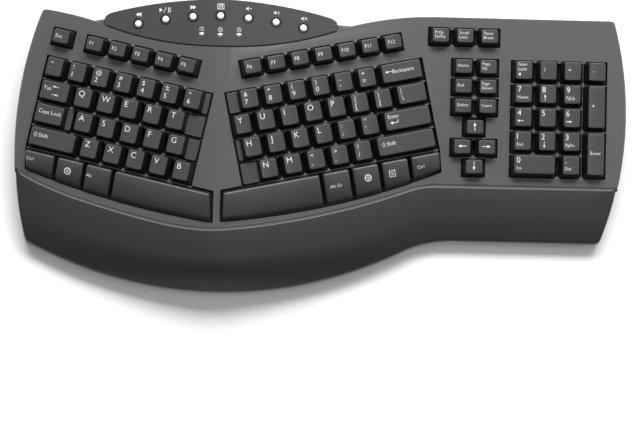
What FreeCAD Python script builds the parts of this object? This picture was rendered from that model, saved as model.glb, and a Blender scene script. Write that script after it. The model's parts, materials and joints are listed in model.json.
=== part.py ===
import FreeCAD, Part
import math
import os
import Sketcher
from FreeCAD import Matrix, Placement, Rotation, Vector

# An ergonomic keyboard: a gull-wing deck whose two letter sections turn outwards from a ridge,
# a flat section for navigation and number keys, a crescent media panel and a soft palm rest.
# Frame: X to the right, Y to the back, Z up, origin under the middle of the box, desk at Z = 0.

doc = FreeCAD.newDocument("ergonomic_keyboard")
sheet = doc.addObject("Spreadsheet::Sheet", "sizes")

SIZES = [
    # deck surface
    ("tilt_angle", 4.0, "deg, the deck rises towards the back"),
    ("tent_angle", 8.5, "deg, each letter section falls away from the ridge"),
    ("deck_height", 19.2, "height of the flat section's surface at Y = 0"),
    ("ridge_x", -80.0, "place of the ridge, the middle of the letter sections"),
    ("valley_x", 86.0, "where the right slope meets the flat section"),
    ("ridge_radius", 60.0, "rounding of the ridge"),
    ("valley_radius", 60.0, "rounding of the valley"),
    # outline seen from above
    ("left_edge_x", -239.35, "furthest point of the left side"),
    ("left_edge_y", -1.2, "where the left side reaches furthest"),
    ("left_side_radius", 296.6, "bow of the left side"),
    ("right_edge_x", 239.35, "furthest point of the right side"),
    ("right_edge_y", 36.3, "where the right side reaches furthest"),
    ("right_side_radius", 276.8, "bow of the right side"),
    ("front_bow_y", -115.1, "front of the palm rest at the ridge"),
    ("front_bow_radius", 322.5, "bow of the palm rest's front"),
    ("front_flat_y", -71.1, "straight front of the palm rest on the right"),
    ("front_blend_radius", 90.0, "blend between bow and straight front"),
    ("back_y", 107.4, "straight back edge of the deck"),
    ("shoulder_reach", 175.0, "distance from the ridge to where the back edge starts to curve"),
    ("shoulder_radius", 286.0, "curve of the back edge towards the media panel"),
    ("corner_radius", 5.0, "outline corners seen from above"),
    # media panel outline
    ("panel_half_width", 90.0, "half the width of the crescent"),
    ("panel_back_y", 115.1, "back of the crescent at the ridge"),
    ("panel_back_radius", 310.0, "bow of its back edge"),
    ("panel_front_y", 72.0, "front of the crescent at the ridge"),
    ("panel_front_radius", 250.6, "bow of its front edge"),
    ("panel_back_corner", 9.0, "corner radius at its two back corners"),
    ("panel_front_corner", 3.0, "corner radius at its two front corners"),
    ("panel_recess", 0.5, "how far the panel lies below the deck"),
    ("panel_skin", 1.3, "thickness of the panel"),
    ("panel_gap", 0.4, "shadow gap round the panel"),
    ("ledge_width", 3.0, "ledge of the deck under the panel's edge"),
    ("ledge_thick", 1.2, "thickness of that ledge"),
    # seam between deck and palm rest
    ("seam_y", -67.7, "seam at the ridge"),
    ("seam_radius", 298.0, "bow of the seam on the left"),
    ("seam_flat_y", -26.3, "straight seam in front of the flat section"),
    ("seam_mid_x", -3.3, "point on the right-hand bow of the seam"),
    ("seam_mid_y", -54.2, "its Y"),
    ("seam_end_x", 77.8, "end of the right-hand bow"),
    ("seam_end_y", -28.3, "its Y"),
    ("seam_gap", 0.4, "gap between deck and palm rest"),
    # shells
    ("wall", 2.5, "walls of the deck, palm rest and tray"),
    ("skin", 2.5, "thickness of the deck surface"),
    ("edge_round", 2.5, "rounding of the upper outer edges"),
    ("parting_z", 8.0, "where the tray ends and the upper shells begin"),
    ("tray_bottom_z", 2.2, "underside of the tray, held up by the rubber feet"),
    ("tray_floor", 2.4, "thickness of the tray floor"),
    ("tray_chamfer", 1.6, "bevel along the tray's lower edge"),
    ("palm_front_z", 11.0, "height of the palm rest's front edge"),
    ("palm_slope", 0.07, "fall of the palm rest where it leaves the seam"),
    ("palm_front_round", 0.45, "share of its depth at which the palm rest starts to curve down"),
    # key sections
    ("section_yaw", 12.97, "deg, each letter section turns outwards by this"),
    ("left_section_x", -147.56, "reference point of the left section, the top centre of E"),
    ("left_section_y", 23.63, "its Y"),
    ("right_section_x", 0.54, "reference point of the right section, the top centre of O"),
    ("right_section_y", 27.39, "its Y"),
    ("flat_section_x", 175.9, "reference point of the flat section, the top centre of pad key 8"),
    ("flat_section_y", 45.9, "its Y"),
    ("column_pitch", 18.63, "letter sections, key to key"),
    ("row_pitch", 18.35, "letter sections, row to row"),
    ("pad_column_pitch", 19.1, "flat section, key to key"),
    ("pad_row_pitch", 18.45, "number pad, row to row"),
    ("nav_row_pitch", 15.45, "navigation keys, row to row"),
    ("left_inner_a", 60.2, "left section, well edge beside the ridge"),
    ("left_outer_a", -75.4, "left section, well edge on the far side"),
    ("right_inner_a", -73.5, "right section, well edge beside the ridge"),
    ("right_outer_a", 85.2, "right section, well edge on the far side"),
    ("escape_a", -65.8, "middle of the escape key along its row"),
    ("f1_a", -38.5, "middle of F1 along its row"),
    ("f6_a", -48.8, "middle of F6 along its row"),
    ("function_row_b", 41.9, "middle of the function keys up the left section"),
    ("space_lean", 5.0, "slant of the inner ends of both space keys"),
    ("system_a", -84.9, "middle of the first system key"),
    ("system_b", 43.1, "its height up the flat section"),
    ("nav_a", -66.3, "middle of the first navigation key"),
    ("nav_b", 19.2, "its height up the flat section"),
    ("key_gap", 1.1, "gap between neighbouring key skirts"),
    # keycaps, heights measured square to the deck surface
    ("cap_top", 6.5, "top of a keycap above the deck"),
    ("cap_skirt", -0.5, "lower edge of a keycap"),
    ("cap_side_margin", 2.55, "slope of the cap's sides seen from above"),
    ("cap_front_margin", 2.75, "slope of the cap's front"),
    ("cap_back_margin", 0.7, "slope of the cap's back"),
    ("cap_dish", 0.5, "depth of the hollow in a cap's top"),
    ("cap_wall", 1.3, "wall of a cap"),
    ("shelf_top", 1.6, "height of the low step beside some caps"),
    ("low_cap_depth", 13.3, "front to back size of a function keycap"),
    ("nav_cap_depth", 13.8, "front to back size of a navigation keycap"),
    ("thumb_side_margin", 1.0, "slope of the sides on the bottom row"),
    ("thumb_back_margin", 1.4, "slope of the back on the bottom row"),
    ("thumb_front_margin", 2.0, "slope of the front on the bottom row"),
    ("travel", 3.5, "key travel"),
    ("plunger_side", 5.2, "square plunger under each cap"),
    ("plunger_foot", -7.9, "lower end of the plunger at rest"),
    ("slide_gap", 0.3, "running gap round plungers, caps and ribs"),
    # key frames, domes and membrane
    ("frame_top", -4.6, "top of the key frame"),
    ("frame_plate", 2.6, "thickness of the key frame"),
    ("frame_rim", 2.0, "rim of the key frame round each well"),
    ("dome_sheet", 0.3, "thickness of the rubber sheet between domes"),
    ("dome_height", 4.0, "height of a rubber dome"),
    ("dome_foot_radius", 5.4, "half the diagonal of a dome at its foot"),
    ("dome_head_radius", 3.0, "half the diagonal of a dome at its head"),
    ("membrane", 0.3, "thickness of the switch membrane"),
    ("collar", 1.5, "wall hanging from the deck round each well"),
    ("rib", 0.5, "thin ribs of the deck between rows of keys"),
    ("rib_top", -1.0, "height of those ribs"),
    # wells
    ("well_gap", 0.7, "gap between the keys and the well's wall"),
    # media buttons and lenses
    ("media_pitch", 21.2, "spacing of the media buttons"),
    ("media_row_y", 95.6, "middle media button"),
    ("media_bow_radius", 350.0, "bow of the row of media buttons"),
    ("media_button_radius", 2.6, "radius of a media button"),
    ("media_hole_gap", 0.3, "gap round a media button"),
    ("media_button_rise", 1.2, "how far a button stands above the panel"),
    ("media_button_depth", 5.0, "how far a button reaches below the panel's surface"),
    ("media_travel", 1.0, "travel of a media button"),
    ("media_dome_height", 1.4, "height of the rubber dome under it"),
    ("media_strip_inset", 5.0, "distance of the media sheet from the panel's edge"),
    ("lens_pitch", 14.3, "spacing of the indicator lenses"),
    ("lens_row_y", 81.2, "middle indicator lens"),
    ("lens_radius", 1.5, "radius of an indicator lens"),
    # inside
    ("battery_radius", 7.25, "size AA cell"),
    ("battery_length", 50.5, "size AA cell"),
    ("battery_x", -110.0, "middle of the battery bay"),
    ("battery_y", 62.0, "its Y"),
    ("bay_length", 58.0, "battery bay, inside"),
    ("bay_width", 31.0, "battery bay, inside"),
    ("bay_height", 15.6, "battery bay above the door"),
    ("bay_wall", 1.6, "wall of the bay"),
    ("door_thick", 2.0, "battery door"),
    ("board_length", 78.0, "circuit board"),
    ("board_width", 30.0, "circuit board"),
    ("board_thick", 1.6, "circuit board"),
    ("board_x", 0.0, "middle of the circuit board"),
    ("board_y", 60.0, "its Y"),
    ("board_z", 9.0, "its underside"),
    ("post_radius", 3.0, "screw posts"),
    ("screw_radius", 1.5, "screw shank"),
    ("screw_head_radius", 2.8, "screw head"),
    ("screw_head", 1.2, "height of a screw head"),
    ("screw_length", 6.0, "length of a screw's shank"),
    ("play", 0.2, "small clearance at screws, cells and switch"),
    ("battery_nub", 1.4, "positive end of a cell"),
    ("nub_radius", 2.7, "positive end of a cell"),
    ("grip_length", 14.0, "grip of the battery door"),
    ("grip_width", 4.0, "grip of the battery door"),
    ("grip_height", 0.8, "grip of the battery door"),
    ("tab_width", 8.0, "hinge tabs of the battery door"),
    ("tab_length", 2.6, "how far the tabs reach over the tray floor"),
    ("tab_thick", 1.2, "hinge tabs of the battery door"),
    ("tab_shift", 18.0, "distance of a tab from the door's middle"),
    ("chip_side", 10.0, "controller chip"),
    ("chip_height", 1.4, "controller chip"),
    ("radio_length", 16.0, "radio module"),
    ("radio_width", 12.0, "radio module"),
    ("radio_height", 2.2, "radio module"),
    ("connector_length", 26.0, "ribbon connector"),
    ("connector_width", 4.0, "ribbon connector"),
    ("connector_height", 3.0, "ribbon connector"),
    # underside
    ("pad_length", 16.0, "rubber foot pad"),
    ("pad_width", 8.0, "rubber foot pad"),
    ("foot_length", 20.0, "folding foot, hinge to tip"),
    ("foot_width", 30.0, "folding foot"),
    ("foot_thick", 3.6, "folding foot"),
    ("foot_reach_x", 195.0, "distance of the folding feet from the middle"),
    ("foot_hinge_y", 88.0, "hinge line of the folding feet"),
    ("foot_pin_radius", 1.2, "hinge pins of a folding foot"),
    ("pin_gap", 0.05, "running gap round a hinge pin"),
    ("switch_length", 9.0, "power switch knob"),
    ("switch_width", 4.0, "power switch knob"),
    ("switch_travel", 4.0, "travel of the power switch"),
    ("switch_flange", 1.0, "flange that holds the knob inside"),
    ("switch_x", -40.0, "place of the power switch"),
    ("switch_y", 62.0, "its Y"),
]
for row, (alias, number, note) in enumerate(SIZES, start=1):
    sheet.set("A%d" % row, alias)
    sheet.set("B%d" % row, str(number))
    sheet.setAlias("B%d" % row, alias)
    sheet.set("C%d" % row, note)
doc.recompute()


def size(alias):
    """Value of one driving dimension."""
    return float(sheet.get(alias))


TILT = math.radians(size("tilt_angle"))
TENT = math.radians(size("tent_angle"))
RIDGE_X = size("ridge_x")
VALLEY_X = size("valley_x")
WALL = size("wall")
PARTING = size("parting_z")
FAR = 400.0     # reach of cutting tools, well outside the object
pieces = []


def piece(name, shape, frame=None):
    """A sub-part whose shape comes from functions, optionally placed in a section's frame."""
    item = doc.addObject("Part::Feature", name)
    item.Label = name
    item.Shape = shape
    if frame is not None:
        item.Placement = frame
    pieces.append(item)
    return item


# The deck surface: a gull-wing profile, drawn square to the tilt and carried backwards along it
SLOPE = math.atan(math.tan(TENT) * math.cos(TILT))      # fall of the sections in the profile's plane
RIDGE_RISE = (VALLEY_X - RIDGE_X) * math.tan(SLOPE)


def profile_height(x):
    """Height of the gull-wing profile over the flat section, with its ridge and valley rounded."""
    ridge, valley = size("ridge_radius"), size("valley_radius")
    tangent = valley * math.tan(SLOPE / 2)
    if abs(x - RIDGE_X) < ridge * math.sin(SLOPE):
        return RIDGE_RISE - ridge / math.cos(SLOPE) + math.sqrt(ridge ** 2 - (x - RIDGE_X) ** 2)
    if VALLEY_X - tangent * math.cos(SLOPE) < x < VALLEY_X + tangent:
        return valley - math.sqrt(valley ** 2 - (x - VALLEY_X - tangent) ** 2)
    if x >= VALLEY_X:
        return 0.0
    return RIDGE_RISE - abs(x - RIDGE_X) * math.tan(SLOPE)


def deck_z(x, y):
    return size("deck_height") + math.tan(TILT) * y + profile_height(x) / math.cos(TILT)


def deck_solid(drop):
    """Everything below the deck surface lowered by drop."""
    ridge, valley = size("ridge_radius"), size("valley_radius")
    reach = ridge * math.sin(SLOPE)
    tangent = valley * math.tan(SLOPE / 2)
    stops = [RIDGE_X - FAR, RIDGE_X - reach, RIDGE_X, RIDGE_X + reach, VALLEY_X - tangent * math.cos(SLOPE),
             VALLEY_X, VALLEY_X + tangent, FAR]
    left, rise, crown, fall, enter, dip, leave, right = [Vector(x, 0, profile_height(x)) for x in stops]
    low_right = Vector(FAR, 0, -FAR)
    low_left = Vector(RIDGE_X - FAR, 0, -FAR)
    edges = [
        Part.LineSegment(left, rise).toShape(),
        Part.Arc(rise, crown, fall).toShape(),
        Part.LineSegment(fall, enter).toShape(),
        Part.Arc(enter, dip, leave).toShape(),
        Part.LineSegment(leave, right).toShape(),
        Part.LineSegment(right, low_right).toShape(),
        Part.LineSegment(low_right, low_left).toShape(),
        Part.LineSegment(low_left, left).toShape(),
    ]
    face = Part.Face(Part.Wire(edges))
    face.rotate(Vector(0, 0, 0), Vector(1, 0, 0), math.degrees(TILT))
    along = Vector(0, math.cos(TILT), math.sin(TILT))
    face.translate(Vector(0, 0, size("deck_height") - drop) - along * FAR)
    return face.extrude(along * (2 * FAR))


# Outlines seen from above
def on_circle_y(centre_x, centre_y, radius, x):
    """Y of the upper half of a circle; a negative radius gives the lower half."""
    return centre_y + math.copysign(math.sqrt(radius ** 2 - (x - centre_x) ** 2), radius)


def on_circle_x(centre_x, centre_y, radius, y):
    """X of the right half of a circle; a negative radius gives the left half."""
    return centre_x + math.copysign(math.sqrt(radius ** 2 - (y - centre_y) ** 2), radius)


def circles_meet(first, first_radius, second, second_radius, side):
    """Crossing of two circles, the one on the given side of the line between their centres."""
    between = second - first
    gap = between.Length
    along = (first_radius ** 2 - second_radius ** 2 + gap ** 2) / (2 * gap)
    off = math.sqrt(first_radius ** 2 - along ** 2)
    unit = between / gap
    return first + unit * along + Vector(-unit.y, unit.x, 0) * off * side


def arc(start, middle, end):
    return Part.Arc(start, middle, end).toShape()


def line(start, end):
    return Part.LineSegment(start, end).toShape()


def outwards(centre, radius, through):
    """Point of a circle in the direction of another point."""
    return centre + (through - centre).normalize() * radius


def corner_arc(centre, radius, start, end):
    """Arc of a corner from start to end, the short way round its centre."""
    middle = (start - centre).normalize() + (end - centre).normalize()
    return arc(start, centre + middle.normalize() * radius, end)


def make_outline(inset=0.0):
    """Outline of deck and palm rest together, drawn inwards by inset."""
    left = Vector(size("left_edge_x") + size("left_side_radius"), size("left_edge_y"), 0)
    right = Vector(size("right_edge_x") - size("right_side_radius"), size("right_edge_y"), 0)
    bow = Vector(RIDGE_X, size("front_bow_y") + size("front_bow_radius"), 0)
    drop = size("back_y") - size("shoulder_radius")
    reach = size("front_bow_radius") + size("front_blend_radius")
    left_radius = size("left_side_radius") - inset
    right_radius = size("right_side_radius") - inset
    bow_radius = size("front_bow_radius") - inset
    blend = size("front_blend_radius") + inset
    shoulder = size("shoulder_radius") - inset
    corner = max(size("corner_radius") - inset, 1.0)
    back_y = size("back_y") - inset
    flat_y = size("front_flat_y") + inset
    shoulders = [Vector(RIDGE_X + side * size("shoulder_reach"), drop, 0) for side in (-1, 1)]
    front_left = circles_meet(left, left_radius - corner, bow, bow_radius - corner, 1)
    back_left = circles_meet(left, left_radius - corner, shoulders[0], shoulder - corner, -1)
    back_right = Vector(on_circle_x(right.x, right.y, right_radius - corner, back_y - corner), back_y - corner, 0)
    front_right = Vector(on_circle_x(right.x, right.y, right_radius - corner, flat_y + corner), flat_y + corner, 0)
    blend_x = RIDGE_X + math.sqrt(reach ** 2 - (bow.y - flat_y + blend) ** 2)
    blend_centre = Vector(blend_x, flat_y - blend, 0)
    join = bow + (blend_centre - bow) * (bow_radius / reach)
    tuck_x = [RIDGE_X + side * size("panel_half_width") for side in (-1, 1)]
    tuck = [Vector(x, on_circle_y(s.x, drop, shoulder, x), 0) for x, s in zip(tuck_x, shoulders)]
    knee = shoulders[1] + Vector(0, shoulder, 0)
    left_low = outwards(left, left_radius, front_left)
    left_high = outwards(left, left_radius, back_left)
    back_start = outwards(shoulders[0], shoulder, back_left)
    right_high = outwards(right, right_radius, back_right)
    right_low = outwards(right, right_radius, front_right)
    bow_start = outwards(bow, bow_radius, front_left)
    mids = [outwards(centre, shoulder, (start + end) / 2)
            for centre, start, end in ((shoulders[0], back_start, tuck[0]), (shoulders[1], tuck[1], knee))]
    return Part.Face(Part.Wire([
        arc(left_low, left - Vector(left_radius, 0, 0), left_high),
        corner_arc(back_left, corner, left_high, back_start),
        arc(back_start, mids[0], tuck[0]),
        line(tuck[0], tuck[1]),
        arc(tuck[1], mids[1], knee),
        line(knee, back_right + Vector(0, corner, 0)),
        corner_arc(back_right, corner, back_right + Vector(0, corner, 0), right_high),
        arc(right_high, right + Vector(right_radius, 0, 0), right_low),
        corner_arc(front_right, corner, right_low, front_right - Vector(0, corner, 0)),
        line(front_right - Vector(0, corner, 0), Vector(blend_x, flat_y, 0)),
        corner_arc(blend_centre, blend, Vector(blend_x, flat_y, 0), join),
        arc(join, bow - Vector(0, bow_radius, 0), bow_start),
        corner_arc(front_left, corner, bow_start, left_low),
    ]))


def make_crescent(inset=0.0):
    """Outline of the media panel, drawn inwards by inset: two arcs closed by straight ends."""
    half = size("panel_half_width") - inset
    back_radius = size("panel_back_radius") - inset
    front_radius = size("panel_front_radius") - inset
    back_corner = max(size("panel_back_corner") - inset, 1.0)
    front_corner = max(size("panel_front_corner") - inset, 1.0)
    back = Vector(RIDGE_X, size("panel_back_y") - size("panel_back_radius"), 0)
    front = Vector(RIDGE_X, size("panel_front_y") + size("panel_front_radius"), 0)
    high_y = on_circle_y(0, back.y, back_radius - back_corner, half - back_corner)
    low_y = on_circle_y(0, front.y, -(front_radius - front_corner), half - front_corner)
    edges = []
    ends = {}
    for side in (-1, 1):
        high = Vector(RIDGE_X + side * (half - back_corner), high_y, 0)
        low = Vector(RIDGE_X + side * (half - front_corner), low_y, 0)
        high_side = high + Vector(side * back_corner, 0, 0)
        low_side = low + Vector(side * front_corner, 0, 0)
        ends[side] = (outwards(back, back_radius, high), outwards(front, front_radius, low))
        edges.append(corner_arc(high, back_corner, ends[side][0], high_side))
        edges.append(line(high_side, low_side))
        edges.append(corner_arc(low, front_corner, low_side, ends[side][1]))
    edges.append(arc(ends[-1][0], back + Vector(0, back_radius, 0), ends[1][0]))
    edges.append(arc(ends[-1][1], front - Vector(0, front_radius, 0), ends[1][1]))
    return Part.Face(Part.Wire(Part.__sortEdges__(edges)))


SEAM_TURN = 15.0    # half the stretch over which the seam turns at the ridge


def seam_y(x):
    """Seam on the left of the ridge, part of a circle."""
    return on_circle_y(RIDGE_X, size("seam_y") + size("seam_radius"), -size("seam_radius"), x)


def behind_seam(shift):
    """Face covering all that lies behind the seam moved back by shift."""
    start = Vector(RIDGE_X - 170, seam_y(RIDGE_X - 170) + shift, 0)
    bend = Vector(RIDGE_X - SEAM_TURN, seam_y(RIDGE_X - SEAM_TURN) + shift, 0)
    half_way = Vector((start.x + bend.x) / 2, seam_y((start.x + bend.x) / 2) + shift, 0)
    middle = Vector(size("seam_mid_x"), size("seam_mid_y") + shift, 0)
    end = Vector(size("seam_end_x"), size("seam_end_y") + shift, 0)
    right_start = Vector(RIDGE_X + SEAM_TURN, size("seam_y") + 1.9 + shift, 0)
    flat = Vector(end.x + 12, size("seam_flat_y") + shift, 0)
    soft = Vector(end.x + 5, size("seam_flat_y") - 0.55 + shift, 0)
    edges = [
        line(Vector(-FAR, start.y, 0), start),
        arc(start, half_way, bend),
        arc(bend, Vector(RIDGE_X, size("seam_y") + 0.3 + shift, 0), right_start),
        arc(right_start, middle, end),
        arc(end, soft, flat),
        line(flat, Vector(FAR, flat.y, 0)),
        line(Vector(FAR, flat.y, 0), Vector(FAR, FAR, 0)),
        line(Vector(FAR, FAR, 0), Vector(-FAR, FAR, 0)),
        line(Vector(-FAR, FAR, 0), Vector(-FAR, start.y, 0)),
    ]
    return Part.Face(Part.Wire(edges))


def prism(face, low, high):
    """Upright prism over a face between two heights."""
    lifted = face.copy()
    lifted.translate(Vector(0, 0, low))
    return lifted.extrude(Vector(0, 0, high - low))


OUTLINE = make_outline()
CRESCENT = make_crescent()
HIGH = 90.0     # above everything
deck_region = prism(OUTLINE, PARTING, HIGH).common(prism(behind_seam(0), PARTING, HIGH))
deck_core = prism(make_outline(WALL), PARTING - 1, HIGH).common(
    prism(behind_seam(WALL), PARTING - 1, HIGH))


# Frames of the three key sections: first axis along the rows, second up the columns, third off the deck
def section_frame(x, y, yaw, slope):
    turn = math.radians(yaw)
    tilt = math.tan(TILT)
    across = Vector(math.cos(turn), math.sin(turn), slope * math.cos(turn) + tilt * math.sin(turn)).normalize()
    off = Vector(-slope, -tilt, 1).normalize()
    up = off.cross(across)
    z = deck_z(x, y)
    return Placement(Matrix(across.x, up.x, off.x, x, across.y, up.y, off.y, y, across.z, up.z, off.z, z,
                            0, 0, 0, 1))


LEFT = section_frame(size("left_section_x"), size("left_section_y"), -size("section_yaw"), math.tan(TENT))
RIGHT = section_frame(size("right_section_x"), size("right_section_y"), size("section_yaw"), -math.tan(TENT))
FLAT = section_frame(size("flat_section_x"), size("flat_section_y"), 0, 0)
FRAMES = {"left": LEFT, "right": RIGHT, "flat": FLAT}


def rectangle(left, right, low, high):
    """Corners (a, b) of a rectangle, from front left round to back left."""
    return [(left, low), (right, low), (right, high), (left, high)]


def polygon(points):
    return Part.Face(Part.makePolygon(list(points) + [points[0]]))


def at_height(points, height):
    return [Vector(a, b, height) for a, b in points]


def frustum(low, low_height, high, high_height):
    """Solid between two polygons with parallel sides, each at its own height."""
    under, over = at_height(low, low_height), at_height(high, high_height)
    faces = [polygon(under), polygon(over)]
    for start, end, end_over, start_over in zip(under, under[1:] + under[:1], over[1:] + over[:1], over):
        faces.append(polygon([start, end, end_over, start_over]))
    return Part.makeSolid(Part.makeShell(faces))


def slab(points, low, high):
    """Prism over a polygon of a section between two heights."""
    return polygon(at_height(points, low)).extrude(Vector(0, 0, high - low))


def in_frame(shape, frame):
    moved = shape.copy()
    moved.Placement = frame
    return moved


def inset_polygon(points, margins):
    """Polygon with every side moved inwards by its own margin; side k starts at corner k."""
    corners = []
    count = len(points)
    for k in range(count):
        lines = []
        for side in (k - 1, k):
            (a0, b0), (a1, b1) = points[side % count], points[(side + 1) % count]
            length = math.hypot(a1 - a0, b1 - b0)
            normal = (-(b1 - b0) / length, (a1 - a0) / length)
            offset = normal[0] * a0 + normal[1] * b0 + margins[side % count]
            lines.append((normal[0], normal[1], offset))
        (p, q, r), (t, u, v) = lines
        det = p * u - q * t
        corners.append(((r * u - q * v) / det, (p * v - r * t) / det))
    return corners


def keycap(base, margins, shelf=None, dished=True, hollow=True):
    """Cap with its plunger. base: corners of the skirt; margins: one slope per side."""
    skirt, top, wall = size("cap_skirt"), size("cap_top"), size("cap_wall")
    dish = size("cap_dish") if dished else 0.0
    crown = inset_polygon(base, margins)
    body = frustum(base, skirt, crown, top + dish)
    if shelf:
        step = inset_polygon(shelf, [0.8] * 4)
        body = body.fuse(frustum(shelf, skirt, step, size("shelf_top")))
    low, high = crown[0][1], crown[-1][1]
    left = crown[0][0]
    right = max(a for a, b in crown)
    if dish:
        radius = ((right - left) ** 2 / 4 + dish ** 2) / (2 * dish)
        start = Vector((left + right) / 2, low - 4, top + radius)
        body = body.cut(Part.makeCylinder(radius, high - low + 8, start, Vector(0, 1, 0)))
    middle = ((left + right) / 2, (low + high) / 2)
    half = size("plunger_side") / 2
    ceiling_height = top - wall if hollow else skirt
    stem = slab(rectangle(middle[0] - half, middle[0] + half, middle[1] - half, middle[1] + half),
                size("plunger_foot"), ceiling_height)
    if hollow:
        inside = inset_polygon(base, [wall] * len(base))
        ceiling = inset_polygon(base, [margin + wall for margin in margins])
        body = body.cut(frustum(inside, skirt, ceiling, ceiling_height))
    return body.fuse(stem), middle


# Keys of each section: name, left and right end in key units, row; rows count down from the number row
PITCH = size("column_pitch")
GAP = size("key_gap")
ROW = size("row_pitch")
WELL_GAP = size("well_gap")
CAP_SHIFT = (size("cap_front_margin") - size("cap_back_margin")) / 2
CAP_DEPTH = ROW - GAP
SIDE = size("cap_side_margin")
MAIN_MARGINS = [size("cap_front_margin"), SIDE, size("cap_back_margin"), SIDE]
LOW_MARGINS = [size("cap_front_margin") - 0.5, SIDE, size("cap_back_margin") + 0.5, SIDE]
NUMBER_ROW_B = ROW - CAP_SHIFT      # middle of the number row's skirts
LEFT_ZERO = 4.0     # key unit at the left section's reference point
RIGHT_ZERO = 10.5
LEFT_INNER = size("left_inner_a")   # well edges beside the ridge
RIGHT_INNER = size("right_inner_a")
LEFT_OUTER = size("left_outer_a")   # well edges on the far side
RIGHT_OUTER = size("right_outer_a")
plungers = {"left": [], "right": [], "flat": []}


def row_middle(row):
    return NUMBER_ROW_B - row * ROW


def key_group(name, section, caps):
    """One node holding the caps of a group, in its section's frame."""
    for cap, middle in caps:
        plungers[section].append(middle)
    solids = [cap for cap, middle in caps]
    piece(name, solids[0] if len(solids) == 1 else Part.makeCompound(solids), FRAMES[section])


def letter_key(zero, start, end, row, shelf_to=None):
    """Cap from start to end in key units, kept clear of the well's inner edge."""
    left = (start - zero) * PITCH + GAP / 2
    right = (end - zero) * PITCH - GAP / 2
    if zero == LEFT_ZERO:
        right = min(right, LEFT_INNER - WELL_GAP)
    else:
        left = max(left, RIGHT_INNER + WELL_GAP)
    low = row_middle(row) - CAP_DEPTH / 2
    high = row_middle(row) + CAP_DEPTH / 2
    shelf = None
    if shelf_to is not None:
        shelf = rectangle(min(left, shelf_to), max(right, shelf_to), low, high)
    return keycap(rectangle(left, right, low, high), MAIN_MARGINS, shelf, hollow=end - start > 1)


def letters(zero, first, count, row, shelf_at=None):
    """A run of single keys; the one at index shelf_at has a low step towards the ridge."""
    reach = LEFT_INNER - WELL_GAP if zero == LEFT_ZERO else RIGHT_INNER + WELL_GAP
    return [letter_key(zero, first + k, first + k + 1, row, reach if k == shelf_at else None)
            for k in range(count)]


key_group("keys_left_numbers", "left", letters(LEFT_ZERO, 0, 7, 0, 6))
key_group("key_tab", "left", [letter_key(LEFT_ZERO, 0, 1.5, 1)])
key_group("keys_left_q_row", "left", letters(LEFT_ZERO, 1.5, 5, 1, 4))
caps_end = (1.75 - LEFT_ZERO) * PITCH - GAP / 2
key_group("key_caps_lock", "left", [letter_key(LEFT_ZERO, 0, 1.5, 2, caps_end)])
key_group("keys_left_a_row", "left", letters(LEFT_ZERO, 1.75, 5, 2, 4))
key_group("key_shift_left", "left", [letter_key(LEFT_ZERO, 0, 2.25, 3)])
key_group("keys_left_z_row", "left", letters(LEFT_ZERO, 2.25, 5, 3))

key_group("keys_right_numbers", "right", letters(RIGHT_ZERO, 7, 6, 0, 0))
key_group("key_backspace", "right", [letter_key(RIGHT_ZERO, 13, 15, 0)])
key_group("keys_right_q_row", "right", letters(RIGHT_ZERO, 6.5, 7, 1))
key_group("key_backslash", "right", [letter_key(RIGHT_ZERO, 13.5, 15, 1)])
key_group("keys_right_a_row", "right", letters(RIGHT_ZERO, 6.75, 6, 2, 0))
key_group("key_enter", "right", [letter_key(RIGHT_ZERO, 12.75, 15, 2)])
key_group("keys_right_z_row", "right", letters(RIGHT_ZERO, 7.25, 5, 3, 0))
key_group("key_shift_right", "right", [letter_key(RIGHT_ZERO, 12.25, 15, 3)])

# Function keys
LOW_DEPTH = size("low_cap_depth")
F_LEFT_B = size("function_row_b")
F_RIGHT_B = F_LEFT_B - 0.4


def low_key(middle_a, middle_b):
    half = (PITCH - GAP) / 2
    return keycap(rectangle(middle_a - half, middle_a + half, middle_b - LOW_DEPTH / 2, middle_b + LOW_DEPTH / 2),
                  LOW_MARGINS, hollow=False)


ESC_A = size("escape_a")
F1_A = size("f1_a")
F6_A = size("f6_a")
key_group("key_esc", "left", [low_key(ESC_A, F_LEFT_B)])
key_group("keys_f1_f5", "left", [low_key(F1_A + k * PITCH, F_LEFT_B) for k in range(5)])
key_group("keys_f6_f12", "right", [low_key(F6_A + k * PITCH, F_RIGHT_B) for k in range(7)])

# Bottom row: broad keys whose front edges follow the palm rest
THUMB_BACK = row_middle(3) - ROW / 2 - GAP / 2
FRONT_LEFT = [(-71.7, -63.9), (4.8, -71.8), (81.2, -70.3)]
FRONT_RIGHT = [(-95.2, -70.1), (-6.9, -74.3), (81.5, -65.1)]


def circle_through(points):
    """Centre and radius of the circle through three points."""
    circle = Part.Arc(*[Vector(a, b, 0) for a, b in points]).toShape().Curve
    return circle.Center, circle.Radius


def front_b(points, a):
    """Front edge of a well at a, on the arc through three measured points."""
    centre, radius = circle_through(points)
    return centre.y - math.sqrt(radius ** 2 - (a - centre.x) ** 2)


def thumb_key(front, left, right, lean_left=0.0, lean_right=0.0, bends=1):
    """Bottom row key between left and right; lean moves a front corner, bends count the front's facets."""
    low_left = left + GAP / 2 + lean_left
    low_right = right - GAP / 2 + lean_right
    base = []
    for k in range(bends + 1):
        a = low_left + (low_right - low_left) * k / bends
        base.append((a, front_b(front, a) + WELL_GAP))
    base += [(right - GAP / 2, THUMB_BACK), (left + GAP / 2, THUMB_BACK)]
    side = size("thumb_side_margin")
    margins = [size("thumb_front_margin")] * bends + [side, size("thumb_back_margin"), side]
    return keycap(base, margins, dished=False)


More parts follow.
